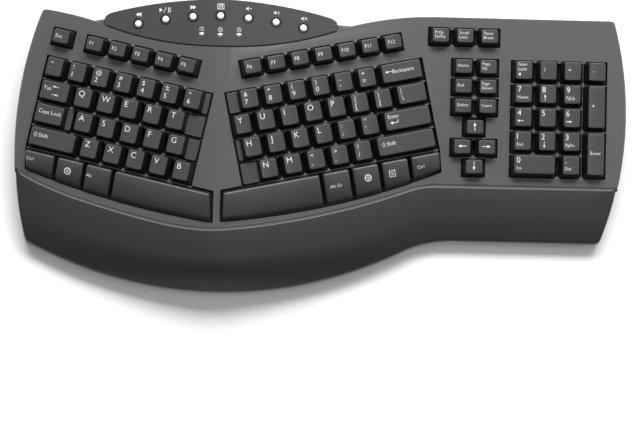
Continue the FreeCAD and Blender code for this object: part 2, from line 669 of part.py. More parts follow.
LEAN = size("space_lean")
left_cuts = [-74.9, -47.3, -23.8, -0.6, 77.3]
right_cuts = [-90.1, -12.6, 11.0, 34.5, 58.3, 84.7]
key_group("key_ctrl_left", "left", [thumb_key(FRONT_LEFT, left_cuts[0], left_cuts[1], lean_left=3.4)])
key_group("key_meta_left", "left", [thumb_key(FRONT_LEFT, left_cuts[1], left_cuts[2])])
key_group("key_alt_left", "left", [thumb_key(FRONT_LEFT, left_cuts[2], left_cuts[3])])
key_group("key_space_left", "left", [thumb_key(FRONT_LEFT, left_cuts[3], left_cuts[4], 0, LEAN, 4)])
key_group("key_space_right", "right", [thumb_key(FRONT_RIGHT, right_cuts[0], right_cuts[1], -LEAN, 0, 4)])
key_group("key_alt_right", "right", [thumb_key(FRONT_RIGHT, right_cuts[1], right_cuts[2])])
key_group("key_meta_right", "right", [thumb_key(FRONT_RIGHT, right_cuts[2], right_cuts[3])])
key_group("key_menu", "right", [thumb_key(FRONT_RIGHT, right_cuts[3], right_cuts[4])])
key_group("key_ctrl_right", "right", [thumb_key(FRONT_RIGHT, right_cuts[4], right_cuts[5], lean_right=-1.6)])

# Flat section: system, navigation, arrow and number pad keys
PAD = size("pad_column_pitch")
PAD_ROW = size("pad_row_pitch")
CAP_WIDTH = PITCH - GAP
PAD_DEPTH = PAD_ROW - GAP
PAD_B = -1.5                # middle of the 7 8 9 row's skirts
NAV_DEPTH = size("nav_cap_depth")
NAV_ROW = size("nav_row_pitch")
NAV_A = size("nav_a")
NAV_B = size("nav_b")
SYSTEM_A = size("system_a")
SYSTEM_B = size("system_b")
ARROW_A = NAV_A + PAD / 2
ARROW_ROWS = [NAV_B - k * NAV_ROW - 1.0 for k in (3, 4, 5)]


def pad_key(column, row, wide=1, deep=1):
    """Number pad key: column and row of its upper left cell, and how many cells it covers."""
    left = (column - 1) * PAD - CAP_WIDTH / 2
    high = PAD_B + (1 - row) * PAD_ROW + PAD_DEPTH / 2
    right = left + (wide - 1) * PAD + CAP_WIDTH
    low = high - (deep - 1) * PAD_ROW - PAD_DEPTH
    return keycap(rectangle(left, right, low, high), MAIN_MARGINS, hollow=wide * deep > 1)


def nav_key(a, b):
    half = CAP_WIDTH / 2
    return keycap(rectangle(a - half, a + half, b - NAV_DEPTH / 2, b + NAV_DEPTH / 2), LOW_MARGINS, hollow=False)


key_group("keys_system", "flat", [nav_key(SYSTEM_A + k * PAD, SYSTEM_B) for k in range(3)])
key_group("keys_nav", "flat", [nav_key(NAV_A + k * PAD, NAV_B - j * NAV_ROW) for j in range(3) for k in range(2)])
key_group("keys_arrows", "flat", [nav_key(ARROW_A, ARROW_ROWS[0]), nav_key(NAV_A, ARROW_ROWS[1]),
                                  nav_key(NAV_A + PAD, ARROW_ROWS[1]), nav_key(ARROW_A, ARROW_ROWS[2])])
key_group("keys_pad_top", "flat", [pad_key(column, 0) for column in range(4)])
digits = [pad_key(column, row) for row in (1, 2, 3) for column in range(3)]
key_group("keys_pad_digits", "flat", digits + [pad_key(2, 4)])
key_group("key_pad_plus", "flat", [pad_key(3, 1, deep=2)])
key_group("key_pad_enter", "flat", [pad_key(3, 3, deep=2)])
key_group("key_pad_zero", "flat", [pad_key(0, 4, wide=2)])

# Wells: openings of the deck, drawn in each section's frame
FUNCTION_HALF = LOW_DEPTH / 2 + WELL_GAP
MAIN_BACK = NUMBER_ROW_B + CAP_DEPTH / 2 + WELL_GAP
THUMB_WELL_BACK = THUMB_BACK + 1.4
CELL_EDGE = CAP_WIDTH / 2 + WELL_GAP
NAV_HALF = NAV_DEPTH / 2 + WELL_GAP


def straight_well(left, right, low, high):
    return polygon(at_height(rectangle(left, right, low, high), 0))


def letter_well(front, corners):
    """Well of a letter section: its front edge is an arc, the other corners are given."""
    start, middle, end = [Vector(a, b, 0) for a, b in front]
    points = [end] + [Vector(a, b, 0) for a, b in corners] + [start]
    edges = [arc(start, middle, end)]
    for first, second in zip(points, points[1:]):
        edges.append(line(first, second))
    return Part.Face(Part.Wire(edges))


left_slant = size("space_lean") + 0.4
WELLS = {
    "left": [
        straight_well(ESC_A - CELL_EDGE, ESC_A + CELL_EDGE, F_LEFT_B - FUNCTION_HALF, F_LEFT_B + FUNCTION_HALF),
        straight_well(F1_A - CELL_EDGE, F1_A + 4 * PITCH + CELL_EDGE, F_LEFT_B - FUNCTION_HALF,
                      F_LEFT_B + FUNCTION_HALF),
        letter_well(
            [FRONT_LEFT[0], FRONT_LEFT[1], (77.3 + left_slant, front_b(FRONT_LEFT, 77.3 + left_slant))],
            [(77.5, THUMB_WELL_BACK), (LEFT_INNER, THUMB_WELL_BACK), (LEFT_INNER, MAIN_BACK),
             (LEFT_OUTER, MAIN_BACK), (LEFT_OUTER, THUMB_BACK)]),
    ],
    "right": [
        straight_well(F6_A - CELL_EDGE, F6_A + 6 * PITCH + CELL_EDGE, F_RIGHT_B - FUNCTION_HALF,
                      F_RIGHT_B + FUNCTION_HALF),
        letter_well(
            [(-90.1 - left_slant, front_b(FRONT_RIGHT, -90.1 - left_slant)), FRONT_RIGHT[1],
             (82.9, front_b(FRONT_RIGHT, 82.9))],
            [(RIGHT_OUTER, THUMB_BACK), (RIGHT_OUTER, MAIN_BACK), (RIGHT_INNER, MAIN_BACK),
             (RIGHT_INNER, THUMB_WELL_BACK), (-90.3, THUMB_WELL_BACK)]),
    ],
    "flat": [
        straight_well(SYSTEM_A - CELL_EDGE, SYSTEM_A + 2 * PAD + CELL_EDGE, SYSTEM_B - NAV_HALF,
                      SYSTEM_B + NAV_HALF),
        polygon(at_height([
            (ARROW_A - CELL_EDGE, ARROW_ROWS[2] - NAV_HALF), (ARROW_A + CELL_EDGE, ARROW_ROWS[2] - NAV_HALF),
            (ARROW_A + CELL_EDGE, ARROW_ROWS[1] - NAV_HALF), (NAV_A + PAD + CELL_EDGE, ARROW_ROWS[1] - NAV_HALF),
            (NAV_A + PAD + CELL_EDGE, ARROW_ROWS[1] + NAV_HALF), (ARROW_A + CELL_EDGE, ARROW_ROWS[1] + NAV_HALF),
            (ARROW_A + CELL_EDGE, NAV_B - 2 * NAV_ROW - NAV_HALF),
            (NAV_A + PAD + CELL_EDGE, NAV_B - 2 * NAV_ROW - NAV_HALF), (NAV_A + PAD + CELL_EDGE, NAV_B + NAV_HALF),
            (NAV_A - CELL_EDGE, NAV_B + NAV_HALF), (NAV_A - CELL_EDGE, NAV_B - 2 * NAV_ROW - NAV_HALF),
            (ARROW_A - CELL_EDGE, NAV_B - 2 * NAV_ROW - NAV_HALF), (ARROW_A - CELL_EDGE, ARROW_ROWS[1] + NAV_HALF),
            (NAV_A - CELL_EDGE, ARROW_ROWS[1] + NAV_HALF), (NAV_A - CELL_EDGE, ARROW_ROWS[1] - NAV_HALF),
            (ARROW_A - CELL_EDGE, ARROW_ROWS[1] - NAV_HALF)], 0)),
        straight_well(-PAD - CELL_EDGE, 2 * PAD + CELL_EDGE, PAD_B - 3 * PAD_ROW - PAD_DEPTH / 2 - WELL_GAP,
                      PAD_B + PAD_ROW + PAD_DEPTH / 2 + WELL_GAP),
    ],
}

# Thin ribs of the deck between the keys
RIB_LOW = size("frame_top") + size("slide_gap")


def rib(left, right, low, high):
    return slab(rectangle(left, right, low, high), RIB_LOW, size("rib_top"))


def row_rib(left, right, middle):
    half = size("rib") / 2
    return rib(left - 0.5, right + 0.5, middle - half, middle + half)


def gap_b(row):
    return row_middle(row) - ROW / 2


def pad_gap_b(row):
    return PAD_B + (1 - row) * PAD_ROW - PAD_ROW / 2


pad_wall = 1.5 * PAD
half_rib = size("rib") / 2
RIBS = {
    "left": [row_rib(LEFT_OUTER, LEFT_INNER, gap_b(row)) for row in range(4)],
    "right": [row_rib(RIGHT_INNER, RIGHT_OUTER, gap_b(row)) for row in range(4)],
    "flat": [row_rib(-PAD - CELL_EDGE, 2 * PAD + CELL_EDGE, pad_gap_b(row)) for row in (0, 2)]
    + [row_rib(-PAD - CELL_EDGE, pad_wall - 0.4, pad_gap_b(row)) for row in (1, 3)]
    + [rib(pad_wall - half_rib, pad_wall + half_rib, PAD_B - 3.6 * PAD_ROW, PAD_B + 1.6 * PAD_ROW)]
    + [row_rib(NAV_A - CELL_EDGE, NAV_A + PAD + CELL_EDGE, NAV_B - (k + 0.5) * NAV_ROW) for k in (0, 1)]
    + [row_rib(ARROW_A - CELL_EDGE, ARROW_A + CELL_EDGE, ARROW_ROWS[k] - NAV_ROW / 2) for k in (0, 1)],
}

# Screw posts, as (x, y); the deck, the palm rest and the media panel each have some
DECK_POSTS = [(-218, 86), (40, 91), (224, 92), (91.5, 55)]
PALM_POSTS = [(-205, -62), (-80, -96), (203, -52)]
PANEL_POSTS = [(-140, 99), (-20, 99)]
ALL_POSTS = DECK_POSTS + PALM_POSTS + PANEL_POSTS
POST = size("post_radius")
FLOOR_TOP = size("tray_bottom_z") + size("tray_floor")
HEAD_SEAT = size("tray_bottom_z") + size("screw_head") + size("play")
SCREW_TOP = HEAD_SEAT + size("screw_length")


def many_sided(x, y, radius, sides=8):
    """Corners of a regular polygon with a flat side to the front."""
    step = 2 * math.pi / sides
    return [(x + radius * math.cos((k + 0.5) * step), y + radius * math.sin((k + 0.5) * step)) for k in range(sides)]


def eight_sided(x, y, radius, low, high):
    """Upright eight-sided prism, the form of screw posts and their holes."""
    return slab(many_sided(x, y, radius), low, high)


def posts(places, radius, low, high):
    return [eight_sided(x, y, radius, low, high) for x, y in places]


# Upper deck shell
def rim_edges(shape):
    """Upper edges of a shell along the outline, without those that the media panel covers."""
    border = OUTLINE.OuterWire
    reach = size("panel_half_width") + 2
    found = []
    for edge in shape.Edges:
        if edge.BoundBox.ZMin < PARTING + 0.5 or edge.Length < 0.5:
            continue
        low, high = edge.ParameterRange
        inside = [edge.valueAt(low + (high - low) * t) for t in (0.25, 0.5, 0.75)]
        off = max(Part.Vertex(p.x, p.y, 0).distToShape(border)[0] for p in inside)
        upright = abs(inside[2].z - inside[0].z) > 0.4 * edge.Length
        covered = abs(inside[1].x - RIDGE_X) < reach and inside[1].y > size("panel_front_y")
        if off < 0.05 and not upright and not covered:
            found.append(edge)
    return found


deck_outer = deck_region.common(deck_solid(0))
deck_outer = deck_outer.makeChamfer(size("edge_round") * 0.6, rim_edges(deck_outer))
deck_inner = deck_core.common(deck_solid(size("skin")))
recess = size("panel_recess") + size("panel_skin")
opening = prism(make_crescent(size("ledge_width")), PARTING - 1, HIGH)
rebate = prism(make_crescent(-size("panel_gap")), PARTING - 1, HIGH).cut(deck_solid(recess))
ledge_outer = prism(make_crescent(-size("panel_gap") - 1), PARTING, HIGH).common(deck_region)
ledge = ledge_outer.common(deck_solid(recess)).cut(deck_solid(recess + size("ledge_thick")))
deck_cuts = [rebate, opening]
collars = []
deck_ribs = []
for name, frame in FRAMES.items():
    for well in WELLS[name]:
        around = well.makeOffset2D(size("collar"), 2)
        collars.append(in_frame(prism(around, RIB_LOW, 6), frame))
        deck_cuts.append(in_frame(prism(well, -9, 12), frame))
    deck_ribs += [in_frame(r, frame) for r in RIBS[name]]
collars = Part.makeCompound(collars).common(deck_solid(size("skin") - 0.1))
collars = collars.common(deck_core).cut(opening)
deck_posts = [p.common(deck_solid(size("skin") - 0.2)) for p in posts(DECK_POSTS, POST, FLOOR_TOP, HIGH)]
deck = deck_outer.cut(deck_inner).multiFuse(ledge.Solids + collars.Solids + deck_posts)
deck = deck.cut(Part.makeCompound(deck_cuts)).multiFuse(deck_ribs)
holes = posts(DECK_POSTS, size("screw_radius"), FLOOR_TOP - 1, SCREW_TOP + 0.5)
piece("top_case", deck.cut(Part.makeCompound(holes)).removeSplitter())


# Media panel
def deck_normal(x):
    """Direction off the deck at x; straight up across the ridge line itself."""
    slope = 0.0
    if abs(x - RIDGE_X) > 1:
        slope = math.copysign(math.tan(TENT), RIDGE_X - x)
    return Vector(-slope, -math.tan(TILT), 1).normalize()


media_places = []
for index in range(-3, 4):
    x = RIDGE_X + index * size("media_pitch")
    y = on_circle_y(RIDGE_X, size("media_row_y") - size("media_bow_radius"), size("media_bow_radius"), x)
    media_places.append((x, y))
lens_places = [(RIDGE_X + k * size("lens_pitch"), size("lens_row_y") + 0.6 * abs(k)) for k in (-1, 0, 1)]


def on_deck(place, drop):
    """Point of the deck surface lowered by drop, and the direction off the deck there."""
    x, y = place
    return Vector(x, y, deck_z(x, y) - drop), deck_normal(x)


PANEL_DROP = size("panel_recess")
panel_face = prism(CRESCENT, PARTING, HIGH)
panel_inner = prism(make_crescent(size("wall")), PARTING - 1, HIGH)
panel_skin = panel_face.common(deck_solid(PANEL_DROP)).cut(deck_solid(recess))
panel_wall = panel_face.cut(panel_inner).common(deck_solid(recess - 0.1))
panel_wall = panel_wall.cut(prism(make_outline(-size("panel_gap")), PARTING - 1, HIGH))
panel_posts = [p.common(deck_solid(recess - 0.1)) for p in posts(PANEL_POSTS, POST, FLOOR_TOP, HIGH)]
panel = panel_skin.fuse(panel_wall).multiFuse(panel_posts)
panel_cuts = posts(PANEL_POSTS, size("screw_radius"), FLOOR_TOP - 1, SCREW_TOP + 0.5)
BUTTON = size("media_button_radius")


def off_panel(place):
    """Frame on the panel's surface with its third axis square to it."""
    point, off = on_deck(place, PANEL_DROP)
    return Placement(point, Rotation(Vector(0, 0, 1), off))


for place in media_places:
    hole = slab(many_sided(0, 0, BUTTON + size("media_hole_gap"), 12), -3, 3)
    panel_cuts.append(in_frame(hole, off_panel(place)))
for place in lens_places:
    panel_cuts.append(in_frame(eight_sided(0, 0, size("lens_radius") + 0.05, -3, 3), off_panel(place)))
piece("media_panel", panel.cut(Part.makeCompound(panel_cuts)).removeSplitter())

MEDIA_NAMES = ["rewind", "play", "forward", "calculator", "volume_down", "volume_up", "mute"]
BUTTON_FOOT = -size("media_button_depth")
for name, place in zip(MEDIA_NAMES, media_places):
    rise = size("media_button_rise")
    flange_top = -size("panel_skin") - 0.3
    skirt = slab(many_sided(0, 0, BUTTON, 12), flange_top, rise / 2)
    crown = frustum(many_sided(0, 0, BUTTON, 12), rise / 2, many_sided(0, 0, BUTTON * 0.6, 12), rise)
    flange = slab(many_sided(0, 0, BUTTON + 1.3), flange_top - 0.9, flange_top)
    shank = slab(many_sided(0, 0, BUTTON - 0.8), BUTTON_FOOT, flange_top - 0.9)
    piece("media_" + name, skirt.multiFuse([crown, flange, shank]), off_panel(place))

lens_solids = []
for place in lens_places:
    lens_solids.append(in_frame(eight_sided(0, 0, size("lens_radius"), -size("panel_skin"), 0.3), off_panel(place)))
piece("indicator_lenses", Part.makeCompound(lens_solids))


# Palm rest: one soft surface through curves that fall from the seam to the front edge
def front_y(x):
    """Front edge of the outline."""
    bow_radius = size("front_bow_radius")
    near = min(x, RIDGE_X + 0.9 * bow_radius)
    return min(on_circle_y(RIDGE_X, size("front_bow_y") + bow_radius, -bow_radius, near), size("front_flat_y"))


def seam_at(x):
    """Seam for the palm rest's curves, following its arcs closely."""
    if x <= RIDGE_X:
        return seam_y(max(x, RIDGE_X - 170))
    if x >= size("seam_end_x"):
        return size("seam_flat_y")
    points = [(RIDGE_X, size("seam_y")), (size("seam_mid_x"), size("seam_mid_y")),
              (size("seam_end_x"), size("seam_end_y"))]
    centre, radius = circle_through(points)
    return centre.y - math.sqrt(radius ** 2 - (x - centre.x) ** 2)


PALM_STATIONS = [RIDGE_X + step for step in (-175, -140, -105, -72, -42, -20, -7, 7, 20, 42, 72, 105, 135)]
PALM_STATIONS += [VALLEY_X - 6, VALLEY_X + 6, 100, 120, 250]
PALM_STEPS = [-0.2, 0.0, 0.3, 0.48, 0.6, 0.7, 0.79, 0.87, 0.94, 1.0, 1.05]
CAVITY_STEPS = [-0.2, 0.45, 0.72, 0.9, 1.05]


def palm_point(x, share):
    """Point of the palm rest at x, share of the way from the seam (0) to the front edge (1)."""
    seam = seam_at(x)
    run = share * (seam - front_y(x))
    straight = deck_z(x, seam) - run * size("palm_slope")
    bend = size("palm_front_round")
    fall = (straight - size("palm_front_z")) * max(0.0, (share - bend) / (1 - bend)) ** 2.4
    return Vector(x, seam - run, straight - fall)


def palm_solid(inset, drop, steps):
    """Room below the palm rest's surface, inside its outline and in front of the seam."""
    sections = []
    for x in PALM_STATIONS:
        points = [palm_point(x, share) - Vector(0, 0, drop) for share in steps]
        edges = [line(a, b) for a, b in zip(points, points[1:])]
        foot = Vector(x, points[-1].y, PARTING - 5)
        heel = Vector(x, points[0].y, PARTING - 5)
        sections.append(Part.Wire(edges + [line(points[-1], foot), line(foot, heel), line(heel, points[0])]))
    body = Part.makeLoft(sections, True, True)
    body = body.common(prism(make_outline(inset), PARTING - inset, HIGH))
    return body.cut(prism(behind_seam(-size("seam_gap") - inset), PARTING - 6, HIGH))


palm_outer = palm_solid(0, 0, PALM_STEPS)
palm = palm_outer.cut(palm_solid(WALL, WALL, CAVITY_STEPS))
post_room = palm_solid(1.0, 1.0, CAVITY_STEPS)
palm_posts = [p.common(post_room) for p in posts(PALM_POSTS, POST, PARTING - 0.5, HIGH)]
palm_feet = posts(PALM_POSTS, POST, FLOOR_TOP, PARTING)
palm = palm.multiFuse(palm_posts + palm_feet)
holes = posts(PALM_POSTS, size("screw_radius"), FLOOR_TOP - 1, SCREW_TOP + 0.5)
piece("palm_rest", palm.cut(Part.makeCompound(holes)).removeSplitter())

# Key frames: a plate under each section with a square guide for every plunger, and a skirt below its edge
FRAME_GAP = WALL + 0.6
ROOM_FLOOR = FLOOR_TOP + size("play")
shell_room = prism(make_outline(FRAME_GAP), ROOM_FLOOR, HIGH).common(
    prism(behind_seam(FRAME_GAP), ROOM_FLOOR, HIGH))


def beside_right_section(margin):
    """Room on the ridge's side of an upright plane along the right section's outer edge."""
    near, far = [RIGHT.multVec(Vector(RIGHT_OUTER + size("collar") + 1.2 + margin, b, size("frame_top")))
                 for b in (-80, 60)]
    drift = (far.x - near.x) / (far.y - near.y)
    low_x = near.x - (near.y + FAR) * drift
    high_x = far.x + (FAR - far.y) * drift
    corners = [(-FAR, -FAR), (low_x, -FAR), (high_x, FAR), (-FAR, FAR)]
    return polygon(at_height(corners, 0)).extrude(Vector(0, 0, HIGH))


ridge_side = Part.makeBox(FAR, 2 * FAR, HIGH, Vector(RIDGE_X - FAR, -FAR, 0))
ROOMS = {
    "left": shell_room.common(ridge_side),
    "right": shell_room.cut(ridge_side).common(beside_right_section(0)),
    "flat": shell_room.cut(beside_right_section(0.4)),
}
PLATES = {
    "left": rectangle(-78.4, 120, -80, F_LEFT_B + FUNCTION_HALF + 2.5),
    "right": rectangle(-125, RIGHT_OUTER + 2.4, -80, F_RIGHT_B + FUNCTION_HALF + 2.5),
    "flat": rectangle(SYSTEM_A - CELL_EDGE - 2.4, 2 * PAD + CELL_EDGE + 2.4,
                      PAD_B - 3 * PAD_ROW - PAD_DEPTH / 2 - 2.9, SYSTEM_B + NAV_HALF + 2.4),
}
PLATE_TOP = size("frame_top")
PLATE_UNDER = PLATE_TOP - size("frame_plate")
DOME_TOP = size("plunger_foot") - 0.05
DOME_FOOT = DOME_TOP - size("dome_height")
SHEET_UNDER = DOME_FOOT - size("dome_sheet")
FILM_UNDER = SHEET_UNDER - size("membrane")


def key_frame(section):
    """Plate with plunger guides and a skirt down to the rubber sheet."""
    half = size("plunger_side") / 2 + size("slide_gap")
    around = PLATES[section]
    plate = slab(around, PLATE_UNDER, PLATE_TOP)
    rim = size("frame_rim")
    skirt = slab(around, DOME_FOOT + 0.1, PLATE_UNDER)
    skirt = skirt.cut(slab(inset_polygon(around, [rim] * 4), DOME_FOOT - 1, PLATE_UNDER + 1))
    guides = [slab(rectangle(a - half, a + half, b - half, b + half), PLATE_UNDER - 1, PLATE_TOP + 1)
              for a, b in plungers[section]]
    body = plate.fuse(skirt).cut(Part.makeCompound(guides))
    return in_frame(body, FRAMES[section]).common(ROOMS[section])


def clear_posts(shape):
    """Room round the screw posts of the deck and the panel."""
    return shape.cut(Part.makeCompound(posts(DECK_POSTS + PANEL_POSTS, POST + 0.5, 0, HIGH)))


key_frames = {name: clear_posts(key_frame(name)) for name in FRAMES}
piece("main_key_frame", key_frames["left"].fuse(key_frames["right"]).removeSplitter())
piece("pad_key_frame", key_frames["flat"].removeSplitter())


# Rubber domes on their sheets, and the switch membrane below them
dome_solids, film_solids = [], []
foot, head = size("dome_foot_radius"), size("dome_head_radius")
for name, frame in FRAMES.items():
    room = ROOMS[name]
    if name != "flat":
        start = RIDGE_X + 3 if name == "right" else RIDGE_X - 3 - FAR
        room = room.common(Part.makeBox(FAR, 2 * FAR, HIGH, Vector(start, -FAR, 0)))
    sheet_solid = in_frame(slab(PLATES[name], SHEET_UNDER, DOME_FOOT), frame).common(room)
    film = in_frame(slab(PLATES[name], FILM_UNDER, SHEET_UNDER), frame).common(room)
    dome_solids.append(clear_posts(sheet_solid))
    film_solids.append(clear_posts(film))
    for a, b in plungers[name]:
        dome = frustum(many_sided(a, b, foot, 4), DOME_FOOT, many_sided(a, b, head, 4), DOME_TOP)
        dome_solids.append(in_frame(dome, frame))

# The same two layers under the media buttons, bent over the ridge
strip = prism(make_crescent(size("media_strip_inset")), PARTING, HIGH)
strip_top = PANEL_DROP + size("media_button_depth") + size("media_dome_height") + 0.15
strip_film = strip_top + size("dome_sheet")
strip_under = strip_film + size("membrane")
dome_solids.append(clear_posts(strip.common(deck_solid(strip_top)).cut(deck_solid(strip_film))))
film_solids.append(clear_posts(strip.common(deck_solid(strip_film)).cut(deck_solid(strip_under))))
for place in media_places:
    low = BUTTON_FOOT - size("media_dome_height")
    dome = frustum(many_sided(0, 0, BUTTON, 4), low, many_sided(0, 0, BUTTON - 1, 4), BUTTON_FOOT - 0.05)
    dome_solids.append(in_frame(dome, off_panel(place)))
piece("rubber_domes", Part.makeCompound([s for group in dome_solids for s in group.Solids]))
piece("switch_membrane", Part.makeCompound([s for group in film_solids for s in group.Solids]))


# Bottom tray with battery bay, pockets for the folding feet and ribs that carry the membrane
def block(middle_x, middle_y, long, wide, low, high):
    """Upright box by its middle and its sizes."""
    return Part.makeBox(long, wide, high - low, Vector(middle_x - long / 2, middle_y - wide / 2, low))


BOTTOM = size("tray_bottom_z")
tray = prism(OUTLINE, BOTTOM, PARTING).fuse(prism(CRESCENT, BOTTOM, PARTING)).removeSplitter()
low_edges = [e for e in tray.Edges if e.BoundBox.ZMax < BOTTOM + 1e-6]
tray = tray.makeChamfer(size("tray_chamfer"), low_edges)
tray = tray.cut(prism(make_outline(WALL), FLOOR_TOP, PARTING + 1))
tray = tray.cut(prism(make_crescent(WALL), FLOOR_TOP, PARTING + 1))
BAY_X, BAY_Y = size("battery_x"), size("battery_y")
BAY_LONG, BAY_WIDE = size("bay_length"), size("bay_width")
DOOR_TOP = BOTTOM + size("door_thick")
BAY_TOP = DOOR_TOP + size("bay_height")
BAY_BACK = BAY_Y + BAY_WIDE / 2
bay_wall = size("bay_wall")
bay = block(BAY_X, BAY_Y, BAY_LONG + 2 * bay_wall, BAY_WIDE + 2 * bay_wall, BOTTOM, BAY_TOP + bay_wall)
bay_room = block(BAY_X, BAY_Y, BAY_LONG, BAY_WIDE, 0, BAY_TOP)
TAB_WIDE, TAB_LONG, TAB_THICK = size("tab_width"), size("tab_length"), size("tab_thick")
TAB_SHIFT = size("tab_shift")
tab_room = [block(BAY_X + side * TAB_SHIFT, BAY_BACK + 1, TAB_WIDE + 0.6, TAB_LONG + 3, FLOOR_TOP,
                  FLOOR_TOP + TAB_THICK + 2.2) for side in (-1, 1)]
foot_long, foot_wide, foot_thick = size("foot_length"), size("foot_width"), size("foot_thick")
HINGE_Y = size("foot_hinge_y")
HINGE_Z = BOTTOM + foot_thick / 2
foot_roof = BOTTOM + foot_thick + 0.6
tray_adds = [bay]
tray_cuts = [bay_room] + tab_room
foot_places = [-size("foot_reach_x"), size("foot_reach_x")]
PIN_HOLE = (size("foot_pin_radius") + size("pin_gap")) / math.cos(math.pi / 8)


def pin_at(x, y, z, radius, length):
    """Eight-sided pin along X, centred on a point."""
    pin = slab(many_sided(0, 0, radius), -length / 2, length / 2)
    pin.Placement = Placement(Vector(x, y, z), Rotation(Vector(0, 1, 0), 90))
    return pin


for x in foot_places:
    middle = HINGE_Y - foot_long / 2
    tray_adds.append(block(x, middle, foot_wide + 4.6, foot_long + 8.6, BOTTOM, foot_roof + 1.6))
    tray_cuts.append(block(x, middle, foot_wide + 1.0, foot_long + 5.0, 0, foot_roof))
    tray_cuts.append(pin_at(x, HINGE_Y, HINGE_Z, PIN_HOLE, foot_wide + 3.4))
SWITCH_X, SWITCH_Y = size("switch_x"), size("switch_y")
slot_long = size("switch_length") + size("switch_travel") + 2 * size("slide_gap")
tray_cuts.append(block(SWITCH_X, SWITCH_Y, slot_long, size("switch_width") + 2 * size("slide_gap"), 0, FLOOR_TOP + 1))
tray_cuts += posts(ALL_POSTS, size("screw_radius") + size("play"), 0, FLOOR_TOP + 1)
tray_cuts += posts(ALL_POSTS, size("screw_head_radius") + size("play"), BOTTOM - 1, HEAD_SEAT)


def upright_drop(height, frame):
    """Vertical distance below the deck surface of a level given square to it."""
    return -height / frame.Rotation.multVec(Vector(0, 0, 1)).z


support_places = [(-215, 60), (-178, 60), (-146, 40), (-62, 44), (-22, 38), (20, 38), (58, 70), (116, 88),
                  (152, 80), (208, 60)]
supports = []
for x, back in support_places:
    front = seam_at(x) + WALL + 4
    wall_block = block(x, (front + back) / 2, 1.6, back - front, FLOOR_TOP - 0.1, HIGH)
    frame = FLAT if x > VALLEY_X else LEFT
    supports.append(wall_block.common(deck_solid(upright_drop(FILM_UNDER - 0.1, frame))))
for x in (-150, -101, -59, -10):
    wall_block = block(x, 96, 1.6, 14, FLOOR_TOP - 0.1, HIGH)
    supports.append(wall_block.common(deck_solid(strip_under + 0.1)))
board_places = [(size("board_x") + sx * (size("board_length") / 2 - 4),
                 size("board_y") + sy * (size("board_width") / 2 - 4)) for sx in (-1, 1) for sy in (-1, 1)]
board_posts = posts(board_places, 2.5, FLOOR_TOP - 0.1, size("board_z"))
tray = tray.multiFuse(tray_adds + supports + board_posts)
piece("bottom_case", tray.cut(Part.makeCompound(tray_cuts)).removeSplitter())


# Pieces drawn as sketches and pads
def centred_rectangle(body, name, long_expr, wide_expr, x_expr, y_expr, z_expr):
    """Sketch on the body's XY plane: a rectangle centred on a point, its sides from the sheet."""
    sketch = body.newObject("Sketcher::SketchObject", name)
    plane = [f for f in body.Origin.OriginFeatures if f.Role == "XY_Plane"][0]
    sketch.AttachmentSupport = [(plane, "")]
    sketch.MapMode = "FlatFace"
    corners = [Vector(-5, -5, 0), Vector(5, -5, 0), Vector(5, 5, 0), Vector(-5, 5, 0)]
    for start, end in zip(corners, corners[1:] + corners[:1]):
        sketch.addGeometry(Part.LineSegment(start, end), False)
    for index in range(4):
        sketch.addConstraint(Sketcher.Constraint("Coincident", index, 2, (index + 1) % 4, 1))
    for index, kind in enumerate(("Horizontal", "Vertical", "Horizontal", "Vertical")):
        sketch.addConstraint(Sketcher.Constraint(kind, index))
    sketch.addConstraint(Sketcher.Constraint("Symmetric", 0, 1, 1, 2, -1, 1))
    across = sketch.addConstraint(Sketcher.Constraint("DistanceX", 0, 1, 0, 2, 10.0))
    deep = sketch.addConstraint(Sketcher.Constraint("DistanceY", 1, 1, 1, 2, 10.0))
    sketch.setExpression("Constraints[%d]" % across, long_expr)
    sketch.setExpression("Constraints[%d]" % deep, wide_expr)
    for axis, expr in zip("xyz", (x_expr, y_expr, z_expr)):
        if expr:
            sketch.setExpression("AttachmentOffset.Base." + axis, expr)
    return sketch


def centred_pad(body, name, long_expr, wide_expr, high_expr, x="", y="", z=""):
    """Rectangular pad on the body, its middle and its foot given by expressions."""
    sketch = centred_rectangle(body, name + "_sketch", long_expr, wide_expr, x, y, z)
    pad = body.newObject("PartDesign::Pad", name)
    pad.Profile = sketch
    pad.setExpression("Length", high_expr)
    sketch.Visibility = False
    return pad


def body_at(name, x_expr, y_expr, z_expr):
    """Empty body placed by the sheet."""
    body = doc.addObject("PartDesign::Body", name)
    body.Label = name
    for axis, expr in zip("xyz", (x_expr, y_expr, z_expr)):
        body.setExpression("Placement.Base." + axis, expr)
    pieces.append(body)
    return body


door = body_at("battery_door", "sizes.battery_x", "sizes.battery_y", "sizes.tray_bottom_z")
centred_pad(door, "door_plate", "sizes.bay_length - 2 * sizes.slide_gap", "sizes.bay_width - 2 * sizes.slide_gap",
            "sizes.door_thick")
centred_pad(door, "door_grip", "sizes.grip_length", "sizes.grip_width", "sizes.grip_height",
            y="-sizes.bay_width / 2 + sizes.grip_width", z="-sizes.grip_height")
for index, side in enumerate(("-", "")):
    shift = side + "sizes.tab_shift"
    centred_pad(door, "door_tab_root_%d" % index, "sizes.tab_width", "sizes.tab_thick",
                "sizes.tray_floor - sizes.door_thick + sizes.slide_gap + sizes.tab_thick", x=shift,
                y="sizes.bay_width / 2 - sizes.slide_gap - sizes.tab_thick / 2", z="sizes.door_thick")
    centred_pad(door, "door_tab_%d" % index, "sizes.tab_width", "sizes.tab_length + sizes.slide_gap", "sizes.tab_thick",
                x=shift, y="sizes.bay_width / 2 + sizes.tab_length / 2 - sizes.slide_gap / 2",
                z="sizes.tray_floor + sizes.slide_gap")

